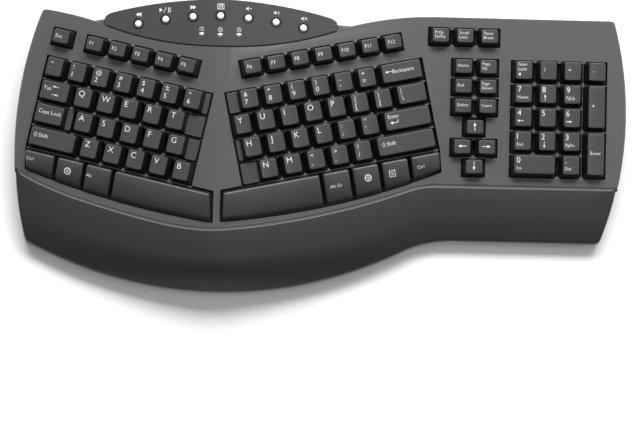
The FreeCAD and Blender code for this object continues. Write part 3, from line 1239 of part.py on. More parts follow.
board = body_at("circuit_board", "sizes.board_x", "sizes.board_y", "sizes.board_z")
centred_pad(board, "board_plate", "sizes.board_length", "sizes.board_width", "sizes.board_thick")
centred_pad(board, "controller_chip", "sizes.chip_side", "sizes.chip_side", "sizes.chip_height",
            x="-sizes.board_length / 6", z="sizes.board_thick")
centred_pad(board, "radio_module", "sizes.radio_length", "sizes.radio_width", "sizes.radio_height",
            x="sizes.board_length / 4", z="sizes.board_thick")
centred_pad(board, "ribbon_connector", "sizes.connector_length", "sizes.connector_width", "sizes.connector_height",
            x="-sizes.board_length / 6", y="-sizes.board_width / 2 + sizes.connector_width", z="sizes.board_thick")

knob = body_at("power_switch", "sizes.switch_x - sizes.switch_travel / 2", "sizes.switch_y",
               "sizes.tray_bottom_z - sizes.play")
centred_pad(knob, "switch_knob", "sizes.switch_length", "sizes.switch_width",
            "sizes.tray_floor + 2 * sizes.play")
centred_pad(knob, "switch_flange", "sizes.switch_length + sizes.switch_travel + 6", "sizes.switch_width + 4",
            "sizes.switch_flange", z="sizes.tray_floor + 1.5 * sizes.play")


# Cells, screws and rubber pads are primitives bound to the sheet
def group(name, members):
    """Identical pieces kept together as separate solids."""
    item = doc.addObject("Part::Compound", name)
    item.Label = name
    item.Links = members
    pieces.append(item)
    return item


def put(item, place, z_expr, rotation=Rotation()):
    item.Placement = Placement(Vector(place[0], place[1], 0), rotation)
    item.setExpression("Placement.Base.z", z_expr)
    return item


def many_sided_item(name, sides, radius_expr, height_expr, place, z_expr, rotation=Rotation()):
    item = doc.addObject("Part::Prism", name)
    item.Polygon = sides
    item.setExpression("Circumradius", radius_expr)
    item.setExpression("Height", height_expr)
    return put(item, place, z_expr, rotation)


AXIS_Z = "sizes.tray_bottom_z + sizes.door_thick + sizes.battery_radius + sizes.play"
CELL_Z = DOOR_TOP + size("battery_radius") + size("play")
CELL = size("battery_length")
NUB = size("battery_nub")
cells = []
for index, side in enumerate((-1, 1)):
    turn = Rotation(Vector(0, 1, 0), -90 * side)
    cell_y = BAY_Y + side * (size("battery_radius") + size("play"))
    cell = many_sided_item("cell_%d" % index, 16, "sizes.battery_radius", "sizes.battery_length - sizes.battery_nub",
                           (BAY_X + side * CELL / 2, cell_y), AXIS_Z, turn)
    nub = many_sided_item("cell_nub_%d" % index, 8, "sizes.nub_radius", "sizes.battery_nub",
                          (BAY_X - side * (CELL / 2 - NUB), cell_y), AXIS_Z, turn)
    whole = doc.addObject("Part::MultiFuse", "cell_whole_%d" % index)
    whole.Shapes = [cell, nub]
    cells.append(whole)
group("batteries", cells)


def contact_spring(side, cell_y):
    """Coned spring between the bay's end wall and the flat end of a cell."""
    start = BAY_LONG / 2 - 0.45
    length = start - CELL / 2 - 0.05
    corners = [[(radius * math.cos(k * math.pi / 4), radius * math.sin(k * math.pi / 4)) for k in range(8)]
               for radius in (3.6, 2.2)]
    cone = frustum(corners[0], 0, corners[1], length)
    return in_frame(cone, Placement(Vector(BAY_X + side * start, cell_y, CELL_Z), Rotation(Vector(0, 1, 0), -90 * side)))


cell_ys = [BAY_Y + side * (size("battery_radius") + size("play")) for side in (-1, 1)]
reach_in = BAY_LONG / 2 - CELL / 2 - 0.5
strap = block(BAY_X - BAY_LONG / 2 + 0.25, BAY_Y, 0.4, BAY_WIDE - 6, CELL_Z - 5, CELL_Z + 5)
strap_button = block(BAY_X - BAY_LONG / 2 + 0.45 + reach_in / 2 - 0.05, cell_ys[1], reach_in, 4, CELL_Z - 2, CELL_Z + 2)
plus_plate = block(BAY_X + BAY_LONG / 2 - 0.25, cell_ys[0], 0.4, 9, CELL_Z - 5, CELL_Z + 5)
plus_button = block(BAY_X + BAY_LONG / 2 - 0.45 - reach_in / 2 + 0.05, cell_ys[0], reach_in, 4, CELL_Z - 2, CELL_Z + 2)
minus_plate = block(BAY_X + BAY_LONG / 2 - 0.25, cell_ys[1], 0.4, 9, CELL_Z - 5, CELL_Z + 5)
piece("battery_contacts", Part.makeCompound([
    strap.multiFuse([strap_button, contact_spring(-1, cell_ys[0])]),
    plus_plate.fuse(plus_button),
    minus_plate.fuse(contact_spring(1, cell_ys[1])),
]))

screw_items = []
for index, place in enumerate(ALL_POSTS):
    cap = many_sided_item("screw_head_%d" % index, 8, "sizes.screw_head_radius", "sizes.screw_head", place,
                          "sizes.tray_bottom_z + sizes.play", Rotation(Vector(0, 0, 1), 22.5))
    shank = many_sided_item("screw_shank_%d" % index, 8, "sizes.screw_radius - 0.05", "sizes.screw_length", place,
                            "sizes.tray_bottom_z + sizes.play + sizes.screw_head", Rotation(Vector(0, 0, 1), 22.5))
    whole = doc.addObject("Part::MultiFuse", "screw_%d" % index)
    whole.Shapes = [cap, shank]
    screw_items.append(whole)
group("case_screws", screw_items)

PAD_PLACES = [(-205, -46), (-130, -92), (-30, -92), (110, -55), (206, -38), (-224, 30), (226, 20), (-80, 104),
              (60, 92)]
pads = []
for index, (x, y) in enumerate(PAD_PLACES):
    pad = doc.addObject("Part::Box", "pad_%d" % index)
    pad.setExpression("Length", "sizes.pad_length")
    pad.setExpression("Width", "sizes.pad_width")
    pad.setExpression("Height", "sizes.tray_bottom_z")
    pad.Placement = Placement(Vector(x, y, 0), Rotation())
    pad.setExpression("Placement.Base.x", "%g - sizes.pad_length / 2" % x)
    pad.setExpression("Placement.Base.y", "%g - sizes.pad_width / 2" % y)
    pads.append(pad)
group("rubber_feet", pads)


# Folding feet: a leaf with a round hinge end and two pins, drawn from the side
def folding_foot(name, x):
    half = foot_thick / 2
    tip = -foot_long
    turns = [math.pi / 2 - k * math.pi / 6 for k in range(7)]
    outline = [(half * math.cos(turn), half * math.sin(turn)) for turn in turns]
    outline += [(tip + half, -half), (tip, 0), (tip + half, half)]
    leaf = polygon([Vector(-foot_wide / 2, y, z) for y, z in outline]).extrude(Vector(foot_wide, 0, 0))
    recess_cut = block(0, tip / 2, foot_wide - 10, foot_long - 10, -half - 1, half - 1.6)
    pin = pin_at(0, 0, 0, size("foot_pin_radius"), foot_wide + 3)
    piece(name, leaf.cut(recess_cut).fuse(pin), Placement(Vector(x, HINGE_Y, HINGE_Z), Rotation()))


folding_foot("left_folding_foot", foot_places[0])
folding_foot("right_folding_foot", foot_places[1])

doc.recompute()
for item in doc.Objects:
    if "Invalid" in item.State or "Error" in item.State:
        raise RuntimeError("object failed: " + item.Name)
for item in pieces:
    if item.Shape.isNull() or not item.Shape.isValid():
        raise RuntimeError("bad shape: " + item.Label)

os.makedirs("parts", exist_ok=True)
for item in pieces:
    item.Shape.exportStep("parts/%s.step" % item.Label)
print(len(pieces), "pieces written")
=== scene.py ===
import math

import bmesh
import bpy
import numpy as np
from mathutils import Euler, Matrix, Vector, bvhtree
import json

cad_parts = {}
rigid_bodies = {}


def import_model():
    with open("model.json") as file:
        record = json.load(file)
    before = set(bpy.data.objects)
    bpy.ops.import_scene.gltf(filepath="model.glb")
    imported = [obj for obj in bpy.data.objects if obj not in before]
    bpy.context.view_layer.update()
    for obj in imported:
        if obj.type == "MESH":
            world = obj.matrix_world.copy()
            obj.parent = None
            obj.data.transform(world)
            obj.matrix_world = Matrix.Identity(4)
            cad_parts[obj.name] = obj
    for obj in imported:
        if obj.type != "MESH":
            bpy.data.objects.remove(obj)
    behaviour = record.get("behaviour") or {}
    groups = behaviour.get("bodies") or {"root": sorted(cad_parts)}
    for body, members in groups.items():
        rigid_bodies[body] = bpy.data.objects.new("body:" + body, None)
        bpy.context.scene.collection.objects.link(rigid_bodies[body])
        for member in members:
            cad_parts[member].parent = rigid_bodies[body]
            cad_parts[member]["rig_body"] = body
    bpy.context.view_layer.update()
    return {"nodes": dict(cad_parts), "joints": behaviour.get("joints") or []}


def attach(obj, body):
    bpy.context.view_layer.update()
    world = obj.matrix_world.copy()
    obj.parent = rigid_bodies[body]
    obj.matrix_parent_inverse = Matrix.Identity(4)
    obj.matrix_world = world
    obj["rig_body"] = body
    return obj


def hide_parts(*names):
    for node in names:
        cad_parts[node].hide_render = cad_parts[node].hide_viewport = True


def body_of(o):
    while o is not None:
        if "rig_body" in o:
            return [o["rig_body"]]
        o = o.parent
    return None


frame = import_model()

# Camera: a product shot from almost straight above, standing a little in front of the palm rest.
# The lens is a short telephoto, so the far keys are hardly smaller than the near ones.
CAMERA_PLACE = (-0.02297, -0.14589, 1.1)
CAMERA_TURN = (4.857, -1.318, 1.211)     # degrees about X, Y and Z
LENS = 78.3

camera_data = bpy.data.cameras.new("camera")
camera_data.lens = LENS
camera_data.sensor_width = 36.0
camera = bpy.data.objects.new("camera", camera_data)
camera.location = CAMERA_PLACE
camera.rotation_euler = Euler([math.radians(a) for a in CAMERA_TURN])
bpy.context.scene.collection.objects.link(camera)
bpy.context.scene.camera = camera
bpy.context.scene.view_settings.view_transform = "Standard"


# Desk: a plain white sheet that keeps the keyboard's soft shadow. Where nothing shades it the lens
# sees it as paper white, with a little glow of its own for the camera only.
DESK_REACH = 4.0
DESK_COLOUR = (0.78, 0.78, 0.78)
DESK_GLOW = 0.05


def new_material(name, colour, roughness, **sockets):
    """A Principled material with its even values on the shader's own sockets; returns its parts."""
    made = bpy.data.materials.new(name)
    made.use_nodes = True
    made.diffuse_color = (*colour, 1)
    shader = made.node_tree.nodes["Principled BSDF"]
    shader.inputs["Base Color"].default_value = (*colour, 1)
    shader.inputs["Roughness"].default_value = roughness
    for socket, value in sockets.items():
        shader.inputs[socket.replace("_", " ")].default_value = value
    return made, made.node_tree.nodes, made.node_tree.links, shader


def add_object(name, mesh, *materials):
    """Object at the origin for a mesh whose place is already in its points."""
    item = bpy.data.objects.new(name, mesh)
    bpy.context.scene.collection.objects.link(item)
    for made in materials:
        mesh.materials.append(made)
    return item


desk_paper, nodes, links, shader = new_material("desk_paper", DESK_COLOUR, 0.9)
shader.inputs["Specular IOR Level"].default_value = 0.0
shader.inputs["Emission Color"].default_value = (1, 1, 1, 1)
seen = nodes.new("ShaderNodeLightPath")
glow = nodes.new("ShaderNodeMath")
glow.operation = "MULTIPLY"
glow.inputs[1].default_value = DESK_GLOW
links.new(seen.outputs["Is Camera Ray"], glow.inputs[0])
links.new(glow.outputs[0], shader.inputs["Emission Strength"])
desk_mesh = bpy.data.meshes.new("desk")
desk_corners = [(x * DESK_REACH, y * DESK_REACH, 0) for x, y in ((-1, -1), (1, -1), (1, 1), (-1, 1))]
desk_mesh.from_pydata(desk_corners, [], [(0, 1, 2, 3)])
add_object("desk", desk_mesh, desk_paper)


# Studio light: one broad soft box behind the keyboard throws the shadow towards the typist. A faint one
# on the left and a stronger one on the right shape the dished keys, and the room fills the rest.
SOFT_BOXES = (
    # name, place, size, watts
    ("back_box", (0.25, 1.9, 1.8), (2.4, 0.8), 122.0),
    ("left_box", (-2.0, 0.2, 1.0), (0.8, 1.6), 3.0),
    ("right_box", (2.2, 0.3, 1.6), (1.2, 2.0), 12.0),
)
ROOM_LIGHT = 0.27

for name, place, extent, watts in SOFT_BOXES:
    lamp = bpy.data.lights.new(name, "AREA")
    lamp.shape = "RECTANGLE"
    lamp.size, lamp.size_y = extent
    lamp.energy = watts
    lamp_object = bpy.data.objects.new(name, lamp)
    lamp_object.location = place
    lamp_object.rotation_euler = Vector(place).to_track_quat("Z", "Y").to_euler()
    bpy.context.scene.collection.objects.link(lamp_object)

room = bpy.data.worlds.new("room")
room.use_nodes = True
nodes, links = room.node_tree.nodes, room.node_tree.links
backdrop = nodes["Background"]
backdrop.inputs["Color"].default_value = (1, 1, 1, 1)
seen = nodes.new("ShaderNodeLightPath")
level = nodes.new("ShaderNodeMapRange")
level.inputs["To Min"].default_value = ROOM_LIGHT
level.inputs["To Max"].default_value = 1.0
links.new(seen.outputs["Is Camera Ray"], level.inputs["Value"])
links.new(level.outputs["Result"], backdrop.inputs["Strength"])
bpy.context.scene.world = room


# Upper case: one moulding in mid-grey ABS with a fine spark-eroded grain. Its openings are edged by a
# small radius that catches the light; inside the wells the same plastic is painted near-black as shade.
CASE_GREY = (0.078, 0.078, 0.084)
# Painted shade: the colour given to faces inside the wells, which are the case's own grey plastic
WELL_PAINTED_SHADE = (0.006, 0.006, 0.007)
EDGE_RADIUS = 0.00028
MERGE = 2e-6           # m, points nearer than this are one


def grain_group():
    """Moulded grain: two noises of the given size, one for the bump and one, broader, that shifts tone.

    Normal is a bump of fine noise; Tone is the colour times a factor near 1 from the broad noise."""
    made = bpy.data.node_groups.new("moulded_grain", "ShaderNodeTree")
    for side, label, kind in (("INPUT", "Colour", "Color"), ("INPUT", "Grain", "Float"),
                              ("INPUT", "Depth", "Float"), ("INPUT", "Drift", "Float"),
                              ("OUTPUT", "Tone", "Color"), ("OUTPUT", "Normal", "Vector")):
        made.interface.new_socket(label, in_out=side, socket_type="NodeSocket" + kind)
    given, result = made.nodes.new("NodeGroupInput"), made.nodes.new("NodeGroupOutput")
    kinds = "TexCoord TexNoise TexNoise Bump Math Math Math VectorMath".split()
    place, fine, broad, bump, centred, scaled, factor, tone = [
        made.nodes.new("ShaderNode" + kind) for kind in kinds]
    for node, operation in ((centred, "SUBTRACT"), (scaled, "MULTIPLY"), (factor, "ADD"), (tone, "SCALE")):
        node.operation = operation
    for node, socket, value in ((fine, "Detail", 2.0), (broad, "Scale", 14.0), (broad, "Detail", 3.0),
                                (bump, "Distance", 0.0002), (centred, 1, 0.5), (factor, 1, 1.0)):
        node.inputs[socket].default_value = value
    for giver, out, taker, into in (
            (place, "Object", fine, "Vector"), (place, "Object", broad, "Vector"),
            (given, "Grain", fine, "Scale"), (fine, "Fac", bump, "Height"),
            (given, "Depth", bump, "Strength"),
            (broad, "Fac", centred, 0), (centred, 0, scaled, 0), (given, "Drift", scaled, 1),
            (scaled, 0, factor, 0), (given, "Colour", tone, 0), (factor, 0, tone, "Scale"),
            (tone, 0, result, "Tone"), (bump, "Normal", result, "Normal")):
        made.links.new(giver.outputs[out], taker.inputs[into])
    return made


GRAIN = grain_group()


def grained(name, colour, roughness, grain=1800.0, depth=0.15, drift=0.06, **sockets):
    """A moulded plastic: plain Principled with the grain group on its colour and normal."""
    made, nodes, links, shader = new_material(name, colour, roughness, **sockets)
    texture = nodes.new("ShaderNodeGroup")
    texture.node_tree = GRAIN
    for label, value in (("Colour", (*colour, 1)), ("Grain", grain), ("Depth", depth), ("Drift", drift)):
        texture.inputs[label].default_value = value
    links.new(texture.outputs["Tone"], shader.inputs["Base Color"])
    links.new(texture.outputs["Normal"], shader.inputs["Normal"])
    return made


case_plastic = grained("case_plastic", CASE_GREY, 0.46, depth=0.22)
# Painted shade for faces inside wells and recesses, and for the strip along the media panel's front
well_shade = grained("well_shade", WELL_PAINTED_SHADE, 0.7, depth=0.1, Specular_IOR_Level=0.15)

# The deck's form and the outline, in mm. The solids' outline is a few millimetres off the photographed one.
TILT, TENT = math.radians(4.0), math.radians(8.5)
DECK_LEVEL = 19.2      # flat section at Y = 0
RIDGE_X, VALLEY_X = -80.0, 86.0
FOLD_RADIUS = 60.0     # rounding of ridge and valley
LEFT_SIDE = ((57.25, -5.0), 296.6)       # centre and radius of the outline's arcs
RIGHT_SIDE = ((-37.45, 28.5), 276.8)
LEFT_WAS, RIGHT_WAS = -1.2, 36.3         # Y of the same arcs' centres in the solids
SIDE_REACH = 6.0       # how far in from a side its points follow it
DECK_BACK, SHOULDER = 107.4, (286.0, 175.0)      # shoulder: radius, and where it starts from the ridge
CRESCENT_BACK, CRESCENT_BOW, CRESCENT_HALF = 115.1, 310.0, 92.0
BACK_SHIFT, CRESCENT_SHIFT, SHIFT_HALF = 2.6, 4.2, 170.0
BACK_REACH, CRESCENT_REACH = 4.3, 9.7    # the back's own reach, and what the crescent adds to it
DECK_FOOT = 15.0       # what lies higher keeps its height over or under the deck


def deck_level(x, y):
    """Height of the deck: a tilted plane plus the gull-wing profile. The profile is -|x - ridge| times the
    slope up to the valley, and both folds are arcs of the fold radius tangent to its straight runs."""
    slope = math.atan(math.tan(TENT) * math.cos(TILT))
    rise = (VALLEY_X - RIDGE_X) * math.tan(slope)
    tangent = FOLD_RADIUS * math.tan(slope / 2)
    profile = np.where(x < VALLEY_X, rise - np.abs(x - RIDGE_X) * math.tan(slope), 0.0)
    on_ridge = np.abs(x - RIDGE_X) < FOLD_RADIUS * math.sin(slope)
    crown = np.sqrt(np.maximum(FOLD_RADIUS ** 2 - (x - RIDGE_X) ** 2, 0))
    crown = rise - FOLD_RADIUS / math.cos(slope) + crown
    dip_x = x - VALLEY_X - tangent
    in_valley = (x > VALLEY_X - tangent * math.cos(slope)) & (dip_x < 0)
    dip = FOLD_RADIUS - np.sqrt(np.maximum(FOLD_RADIUS ** 2 - dip_x ** 2, 0))
    profile = np.where(on_ridge, crown, np.where(in_valley, dip, profile))
    return DECK_LEVEL + math.tan(TILT) * y + profile / math.cos(TILT)


def points_of(mesh):
    """A mesh's points, one a row."""
    points = np.empty(len(mesh.vertices) * 3)
    mesh.vertices.foreach_get("co", points)
    return points.reshape(-1, 3)


def fit_outline(mesh):
    """Moves what lies within a few millimetres of the back edge and the sides onto the photographed outline.

    At the back a point moves forwards by the shift there times its way from the held line to the edge; the
    shift is a plain amount plus a cosine-squared swell across the crescent. At the sides it moves across by
    the difference between the photographed arc and the solid's at its Y, in the same proportion."""
    points = points_of(mesh) * 1000
    x, y = points[:, 0].copy(), points[:, 1].copy()
    for side, ((middle, level), radius), was in ((-1, LEFT_SIDE, LEFT_WAS), (1, RIGHT_SIDE, RIGHT_WAS)):
        old, new = [middle + side * np.sqrt(radius ** 2 - (y - centre) ** 2) for centre in (was, level)]
        points[:, 0] += (new - old) * np.clip(1 - side * (old - x) / SIDE_REACH, 0, 1)
    across = np.abs(x - RIDGE_X)
    inner = np.clip(across, 0, CRESCENT_HALF)
    crescent = CRESCENT_BACK - CRESCENT_BOW + np.sqrt(CRESCENT_BOW ** 2 - inner ** 2)
    bend, start = SHOULDER
    shoulder = DECK_BACK - bend + np.sqrt(bend ** 2 - np.clip(start - across, 0, bend) ** 2)
    edge = np.where(across < CRESCENT_HALF, np.maximum(crescent, shoulder), shoulder)
    swell = np.cos(math.pi / 2 * np.clip(across / SHIFT_HALF, 0, 1)) ** 2
    share = np.clip(1 - (edge - y) / (BACK_REACH + CRESCENT_REACH * swell), 0, 1)
    points[:, 1] -= (BACK_SHIFT + CRESCENT_SHIFT * swell) * share
    points[:, 2] += np.where(points[:, 2] > DECK_FOOT, deck_level(*points[:, :2].T) - deck_level(x, y), 0)
    mesh.vertices.foreach_set("co", (points / 1000).ravel())


def joined_copy(node, name, *materials):
    """The CAD node's triangles as one joined mesh, its flat areas made single faces, on the photographed
    outline."""
    work = bmesh.new()
    work.from_mesh(frame["nodes"][node].data)
    bmesh.ops.remove_doubles(work, verts=work.verts, dist=MERGE)
    bmesh.ops.dissolve_limit(work, angle_limit=math.radians(0.6), verts=work.verts, edges=work.edges)
    mesh = bpy.data.meshes.new(name)
    work.to_mesh(mesh)
    work.free()
    fit_outline(mesh)
    mesh.shade_smooth()
    mesh.set_sharp_from_angle(angle=math.radians(24))
    item = add_object(name, mesh, *materials)
    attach(item, *body_of(frame["nodes"][node]))
    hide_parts(node)
    return item


def soften_edges(item, radius, paint=-1):
    """Small radius along every sharp edge, as a mould leaves it."""
    bevel = item.modifiers.new("edge_radius", "BEVEL")
    bevel.width = radius
    bevel.segments = 2
    bevel.limit_method = "ANGLE"
    bevel.angle_limit = math.radians(40)
    bevel.material = paint
    bevel.harden_normals = True


def shade_inner_faces(item, reach=0.2):
    """Gives the second material, a near-black painted shade, to each face whose normal, followed outwards,
    meets the piece again.
    """
    work = bmesh.new()
    work.from_mesh(item.data)
    tree = bvhtree.BVHTree.FromBMesh(work)
    for face in work.faces:
        start = face.calc_center_median() + face.normal * 1e-4
        if tree.ray_cast(start, face.normal, reach)[0] is not None:
            face.material_index = 1
    work.to_mesh(item.data)
    work.free()


deck = joined_copy("top_case", "upper_case", case_plastic, well_shade)
shade_inner_faces(deck)
soften_edges(deck, EDGE_RADIUS, 0)


# Keycaps: thin ABS shells with a sunk top, straight flared skirts and a plunger. The skirts and plungers are
# painted near-black as shade; only the tops show the caps' own grey. Every cap is drawn over the solid it
# belongs to.
YAW = 12.97            # degrees, how far each letter section turns outwards
SKIRT_DEPTH = 7.5      # mm from a cap's lower edge to its top
STEM = 2.6             # half the side of a plunger
STEM_DEPTH = 14.9      # mm from the plunger's foot to the cap's top corners
STEM_SINK = 3          # mm from there down to the plunger's head, inside the cap
TOP_BAND = 0.55        # mm below a cap's highest point that still count as its top
ROW_BAND = 8           # mm, caps this near up the columns stand in one row
DISH = 0.65            # mm, how much higher a cap's side edges stand than its middle
FLARE = {              # how far a skirt spreads below each side of the top: front, right, back, left
    "main": (2.75, 2.55, 0.7, 2.55),
    "low": (2.25, 2.55, 1.2, 2.55),
    "thumb": (2.0, 1.0, 1.4, 1.0),
}
CORNER_LOW, CORNER_HIGH = 2.0, 1.5      # mm, corner radius at the skirt and at the top
TOP_EDGE = 0.45        # mm, rounding between skirt and top
THUMB_EDGE = 1.4
THUMB_SAG, THUMB_POWER = 4.6, 2.4       # mm a bottom-row key's front lies lower, and how late it falls
# Painted shade down the rolled front of a bottom-row key: less of the top's colour towards the front
THUMB_SHADE, SHADE_POWER = 0.6, 2.5     # the light it loses down that front, and how late
KEY_TOP = (0.05, 0.05, 0.0545)
# Painted shade: skirts and plungers are the same ABS as the tops, drawn near-black
KEY_SKIRT_PAINTED_SHADE = (0.007, 0.007, 0.008)


def unit(rows):
    """Vectors scaled to length one."""
    return rows / np.linalg.norm(rows, axis=-1, keepdims=True)


def raised(flat, level):
    """Plan points with their height, or one height for all."""
    return np.column_stack([flat, np.broadcast_to(level, len(flat))])


def section_axes(node):
    """Axes of a key's section: along the row, up the columns, and off the deck against the key's travel."""
    body = body_of(frame["nodes"][node])[0]
    joint = next(j for j in frame["joints"] if j["child"] == body)
    off = -np.array(joint["axis"], float)
    yaw = math.radians(YAW) * (0 if abs(off[0]) < 0.01 else math.copysign(1, off[0]))
    across = np.array([math.cos(yaw), math.sin(yaw), 0.0])
    across[2] = -(across @ off) / off[2]
    across = unit(across)
    return np.stack([across, np.cross(off, across), off])


def caps_of(node):
    """Corner points of every cap in a node along its section's axes, in mm: back row first, left to right.

    Corners at one place count once; then every edge hands the lower of its two labels on until none
    changes, so that each cap ends up with a label of its own."""
    mesh = frame["nodes"][node].data
    points = points_of(mesh) @ section_axes(node).T * 1000
    points, same = np.unique(np.round(points, 3), axis=0, return_inverse=True)
    ends = np.empty(len(mesh.edges) * 2, int)
    mesh.edges.foreach_get("vertices", ends)
    ends = same.ravel()[ends].reshape(-1, 2)
    label = np.arange(len(points))
    while np.any(label[ends[:, 0]] != label[ends[:, 1]]):
        lower = label[ends].min(1)
        np.minimum.at(label, ends[:, 0], lower)
        np.minimum.at(label, ends[:, 1], lower)
    caps = [points[label == one] for one in np.unique(label)]
    return sorted(caps, key=lambda cap: (-round(cap[:, 1].mean() / ROW_BAND), cap[:, 0].mean()))


def hull(points):
    """Corners of the convex outline of points, anticlockwise from the front left: the lower and the upper
    run of left turns, joined."""
    points = sorted(set(map(tuple, np.round(points[:, :2], 3).tolist())))
    runs = []
    for ordered in (points, points[::-1]):
        run = []
        for p in ordered:
            while len(run) > 1 and ((run[-1][0] - run[-2][0]) * (p[1] - run[-2][1])
                                    - (run[-1][1] - run[-2][1]) * (p[0] - run[-2][0])) < 0.02:
                run.pop()
            run.append(p)
        runs.append(run[:-1])
    corners = np.array(runs[0] + runs[1])
    return np.roll(corners, -int(np.argmin(corners.sum(1))), 0)


def tops(node):
    """Top outline of every cap in a node, with the top's height."""
    caps = caps_of(node)
    height = max(cap[:, 2].max() for cap in caps)
    return [hull(cap[cap[:, 2] > height - TOP_BAND]) for cap in caps], height


def inward_of(corners):
    """Inward unit normal of every side of an outline; side k starts at corner k."""
    along = unit(np.roll(corners, -1, 0) - corners)
    return np.stack([-along[:, 1], along[:, 0]], 1)


def inset(corners, margins):
    """Outline whose sides moved inwards by their margins: each corner is where its two moved sides cross."""
    inward = inward_of(corners)
    level = (inward * corners).sum(1) + margins
    before, low = np.roll(inward, 1, 0), np.roll(level, 1)
    cross = before[:, 0] * inward[:, 1] - before[:, 1] * inward[:, 0]
    return np.stack([low * inward[:, 1] - level * before[:, 1], before[:, 0] * level - inward[:, 0] * low],
                    1) / cross[:, None]


def rounded(corners, radius, steps=7):
    """Outline with each corner an arc: its centre lies a radius inside both sides, and the arc turns from
    the outward normal of the side before to that of the side after."""
    outward = -inward_of(corners)
    before = np.roll(outward, 1, 0)
    start = np.arctan2(before[:, 1], before[:, 0])
    turn = (np.arctan2(outward[:, 1], outward[:, 0]) - start) % (2 * math.pi)
    angle = start[:, None] + turn[:, None] * np.linspace(0, 1, steps)
    arcs = np.stack([np.cos(angle), np.sin(angle)], -1) * radius
    return (inset(corners, np.full(len(corners), radius))[:, None] + arcs).reshape(-1, 2)


def side_margins(corners, flare):
    """Margin of every side by the way it faces: front, right, back or left."""
    outward = -inward_of(corners)
    facing = np.where(np.abs(outward[:, 0]) > 0.8, np.where(outward[:, 0] > 0, 1, 3),
                      np.where(outward[:, 1] < 0, 0, 2))
    return np.array(flare)[facing]


def shell(rings):
    """Points and faces of rings stacked from the foot to the top, closed by a middle point at each end."""
    rings = np.array(rings)
    levels, count = rings.shape[:2]
    ring = np.arange(levels - 1)[:, None] * count
    step = np.arange(count)
    after = (step + 1) % count
    walls = np.stack([ring + step, ring + after, ring + count + after, ring + count + step], -1)
    foot, head = levels * count, levels * count + 1
    points = np.vstack([rings.reshape(-1, 3), rings[0].mean(0), rings[-1].mean(0)])
    top = (levels - 1) * count
    fans = np.vstack([np.stack([after, step, np.full(count, foot)], 1),
                      np.stack([top + step, top + after, np.full(count, head)], 1)])
    return points, walls.reshape(-1, 4).tolist() + fans.tolist()


def dish_height(outline, height, kind):
    """Height of a cap's top over (a, b): a shallow trough along the columns, or on the bottom row a roll
    that falls towards the typist as the 2.4th power of the way from the back."""
    low, high = outline.min(0), outline.max(0)
    middle, half = (low + high) / 2, (high - low) / 2
    if kind == "thumb":
        return lambda a, b: height - 0.05 - THUMB_SAG * np.clip(
            (high[1] - b) / (2 * half[1]), 0, 1.2) ** THUMB_POWER
    return lambda a, b: height - DISH * (1 - np.clip(np.abs(a - middle[0]) / half[0], 0, 1) ** 2)


def cap_rings(top, height, kind, skirt):
    """Rings of a cap: skirt, straight flare, rounded edge, then the top drawn in to its middle.

    The edge is a quarter circle: the outline moves in by r(1 - cos) while the height rises by r sin. The
    light mask paints shade: 0 on the skirt, 0.35 where the edge starts and 1 on the top, and it fades down
    the rolled front of a bottom-row key."""
    surface = dish_height(top, height, kind)
    edge = THUMB_EDGE if kind == "thumb" else TOP_EDGE
    foot = inset(top, -side_margins(top, FLARE[kind]))
    back, front = top[:, 1].max(), top[:, 1].min()
    rings, lit = [], []

    def add(flat, level, light):
        rings.append(raised(flat, level))
        way = np.clip((back - flat[:, 1]) / (back - front), 0, 1) if kind == "thumb" else np.zeros(len(flat))
        lit.extend(light * (1 - THUMB_SHADE * way ** SHADE_POWER))

    outline = rounded(foot, CORNER_LOW)
    crest = rounded(top, CORNER_HIGH)
    brim = surface(*crest.T) - edge
    for share in (0, 0.04, 0.5, 0.9):
        add(outline + (crest - outline) * share, height - skirt + (brim - height + skirt) * share, 0)
    for turn in np.linspace(0, math.pi / 2, 5):
        margin = edge * (1 - math.cos(turn))
        flat = rounded(inset(top, np.full(len(top), margin)), CORNER_HIGH - margin)
        add(flat, surface(*flat.T) - edge * (1 - math.sin(turn)), 0.35 if turn == 0 else 1)
    middle = flat.mean(0)
    for share in (0.85, 0.65, 0.42, 0.2):
        inner = middle + (flat - middle) * share
        add(inner, surface(*inner.T), 1)
    return rings, lit


def oblong(left, low, right, high):
    """Corners of a rectangle, anticlockwise."""
    return [(left, low), (right, low), (right, high), (left, high)]


def joined(shells):
    """Several (points, faces) as one list of points and faces."""
    points, faces, first = [], [], 0
    for some, own in shells:
        points.append(some)
        faces += [[k + first for k in face] for face in own]
        first += len(some)
    return np.vstack(points), faces


def section_object(name, shells, axes, made, lit=None):
    """Object from shells along a section's axes in mm, with an optional light mask per point."""
    points, faces = joined(shells)
    mesh = bpy.data.meshes.new(name)
    mesh.from_pydata((points @ axes / 1000).tolist(), [], faces)
    if lit is not None:
        mask = mesh.attributes.new("lit", "FLOAT", "POINT")
        mask.data.foreach_set("value", np.asarray(lit, float))
    mesh.shade_smooth()
    mesh.set_sharp_from_angle(angle=math.radians(50))
    return add_object(name, mesh, made)


def masked_plastic(name, shade, colour, roughness, **sockets):
    """Grained plastic that mixes two colours by the mesh's light mask: on the keys from painted shade to
    their own colour, on the palm rest from the coat's own colour to a painted highlight.
    """
    made = grained(name, colour, roughness, **sockets)
    nodes, links = made.node_tree.nodes, made.node_tree.links
    mask, blend = nodes.new("ShaderNodeAttribute"), nodes.new("ShaderNodeMix")
    mask.attribute_name = "lit"
    blend.data_type = "RGBA"
    blend.inputs["A"].default_value = shade + (1,)
    blend.inputs["B"].default_value = colour + (1,)
    links.new(mask.outputs["Fac"], blend.inputs["Factor"])
    texture = next(n for n in nodes if n.type == "GROUP")
    links.new(blend.outputs["Result"], texture.inputs["Colour"])
    return made


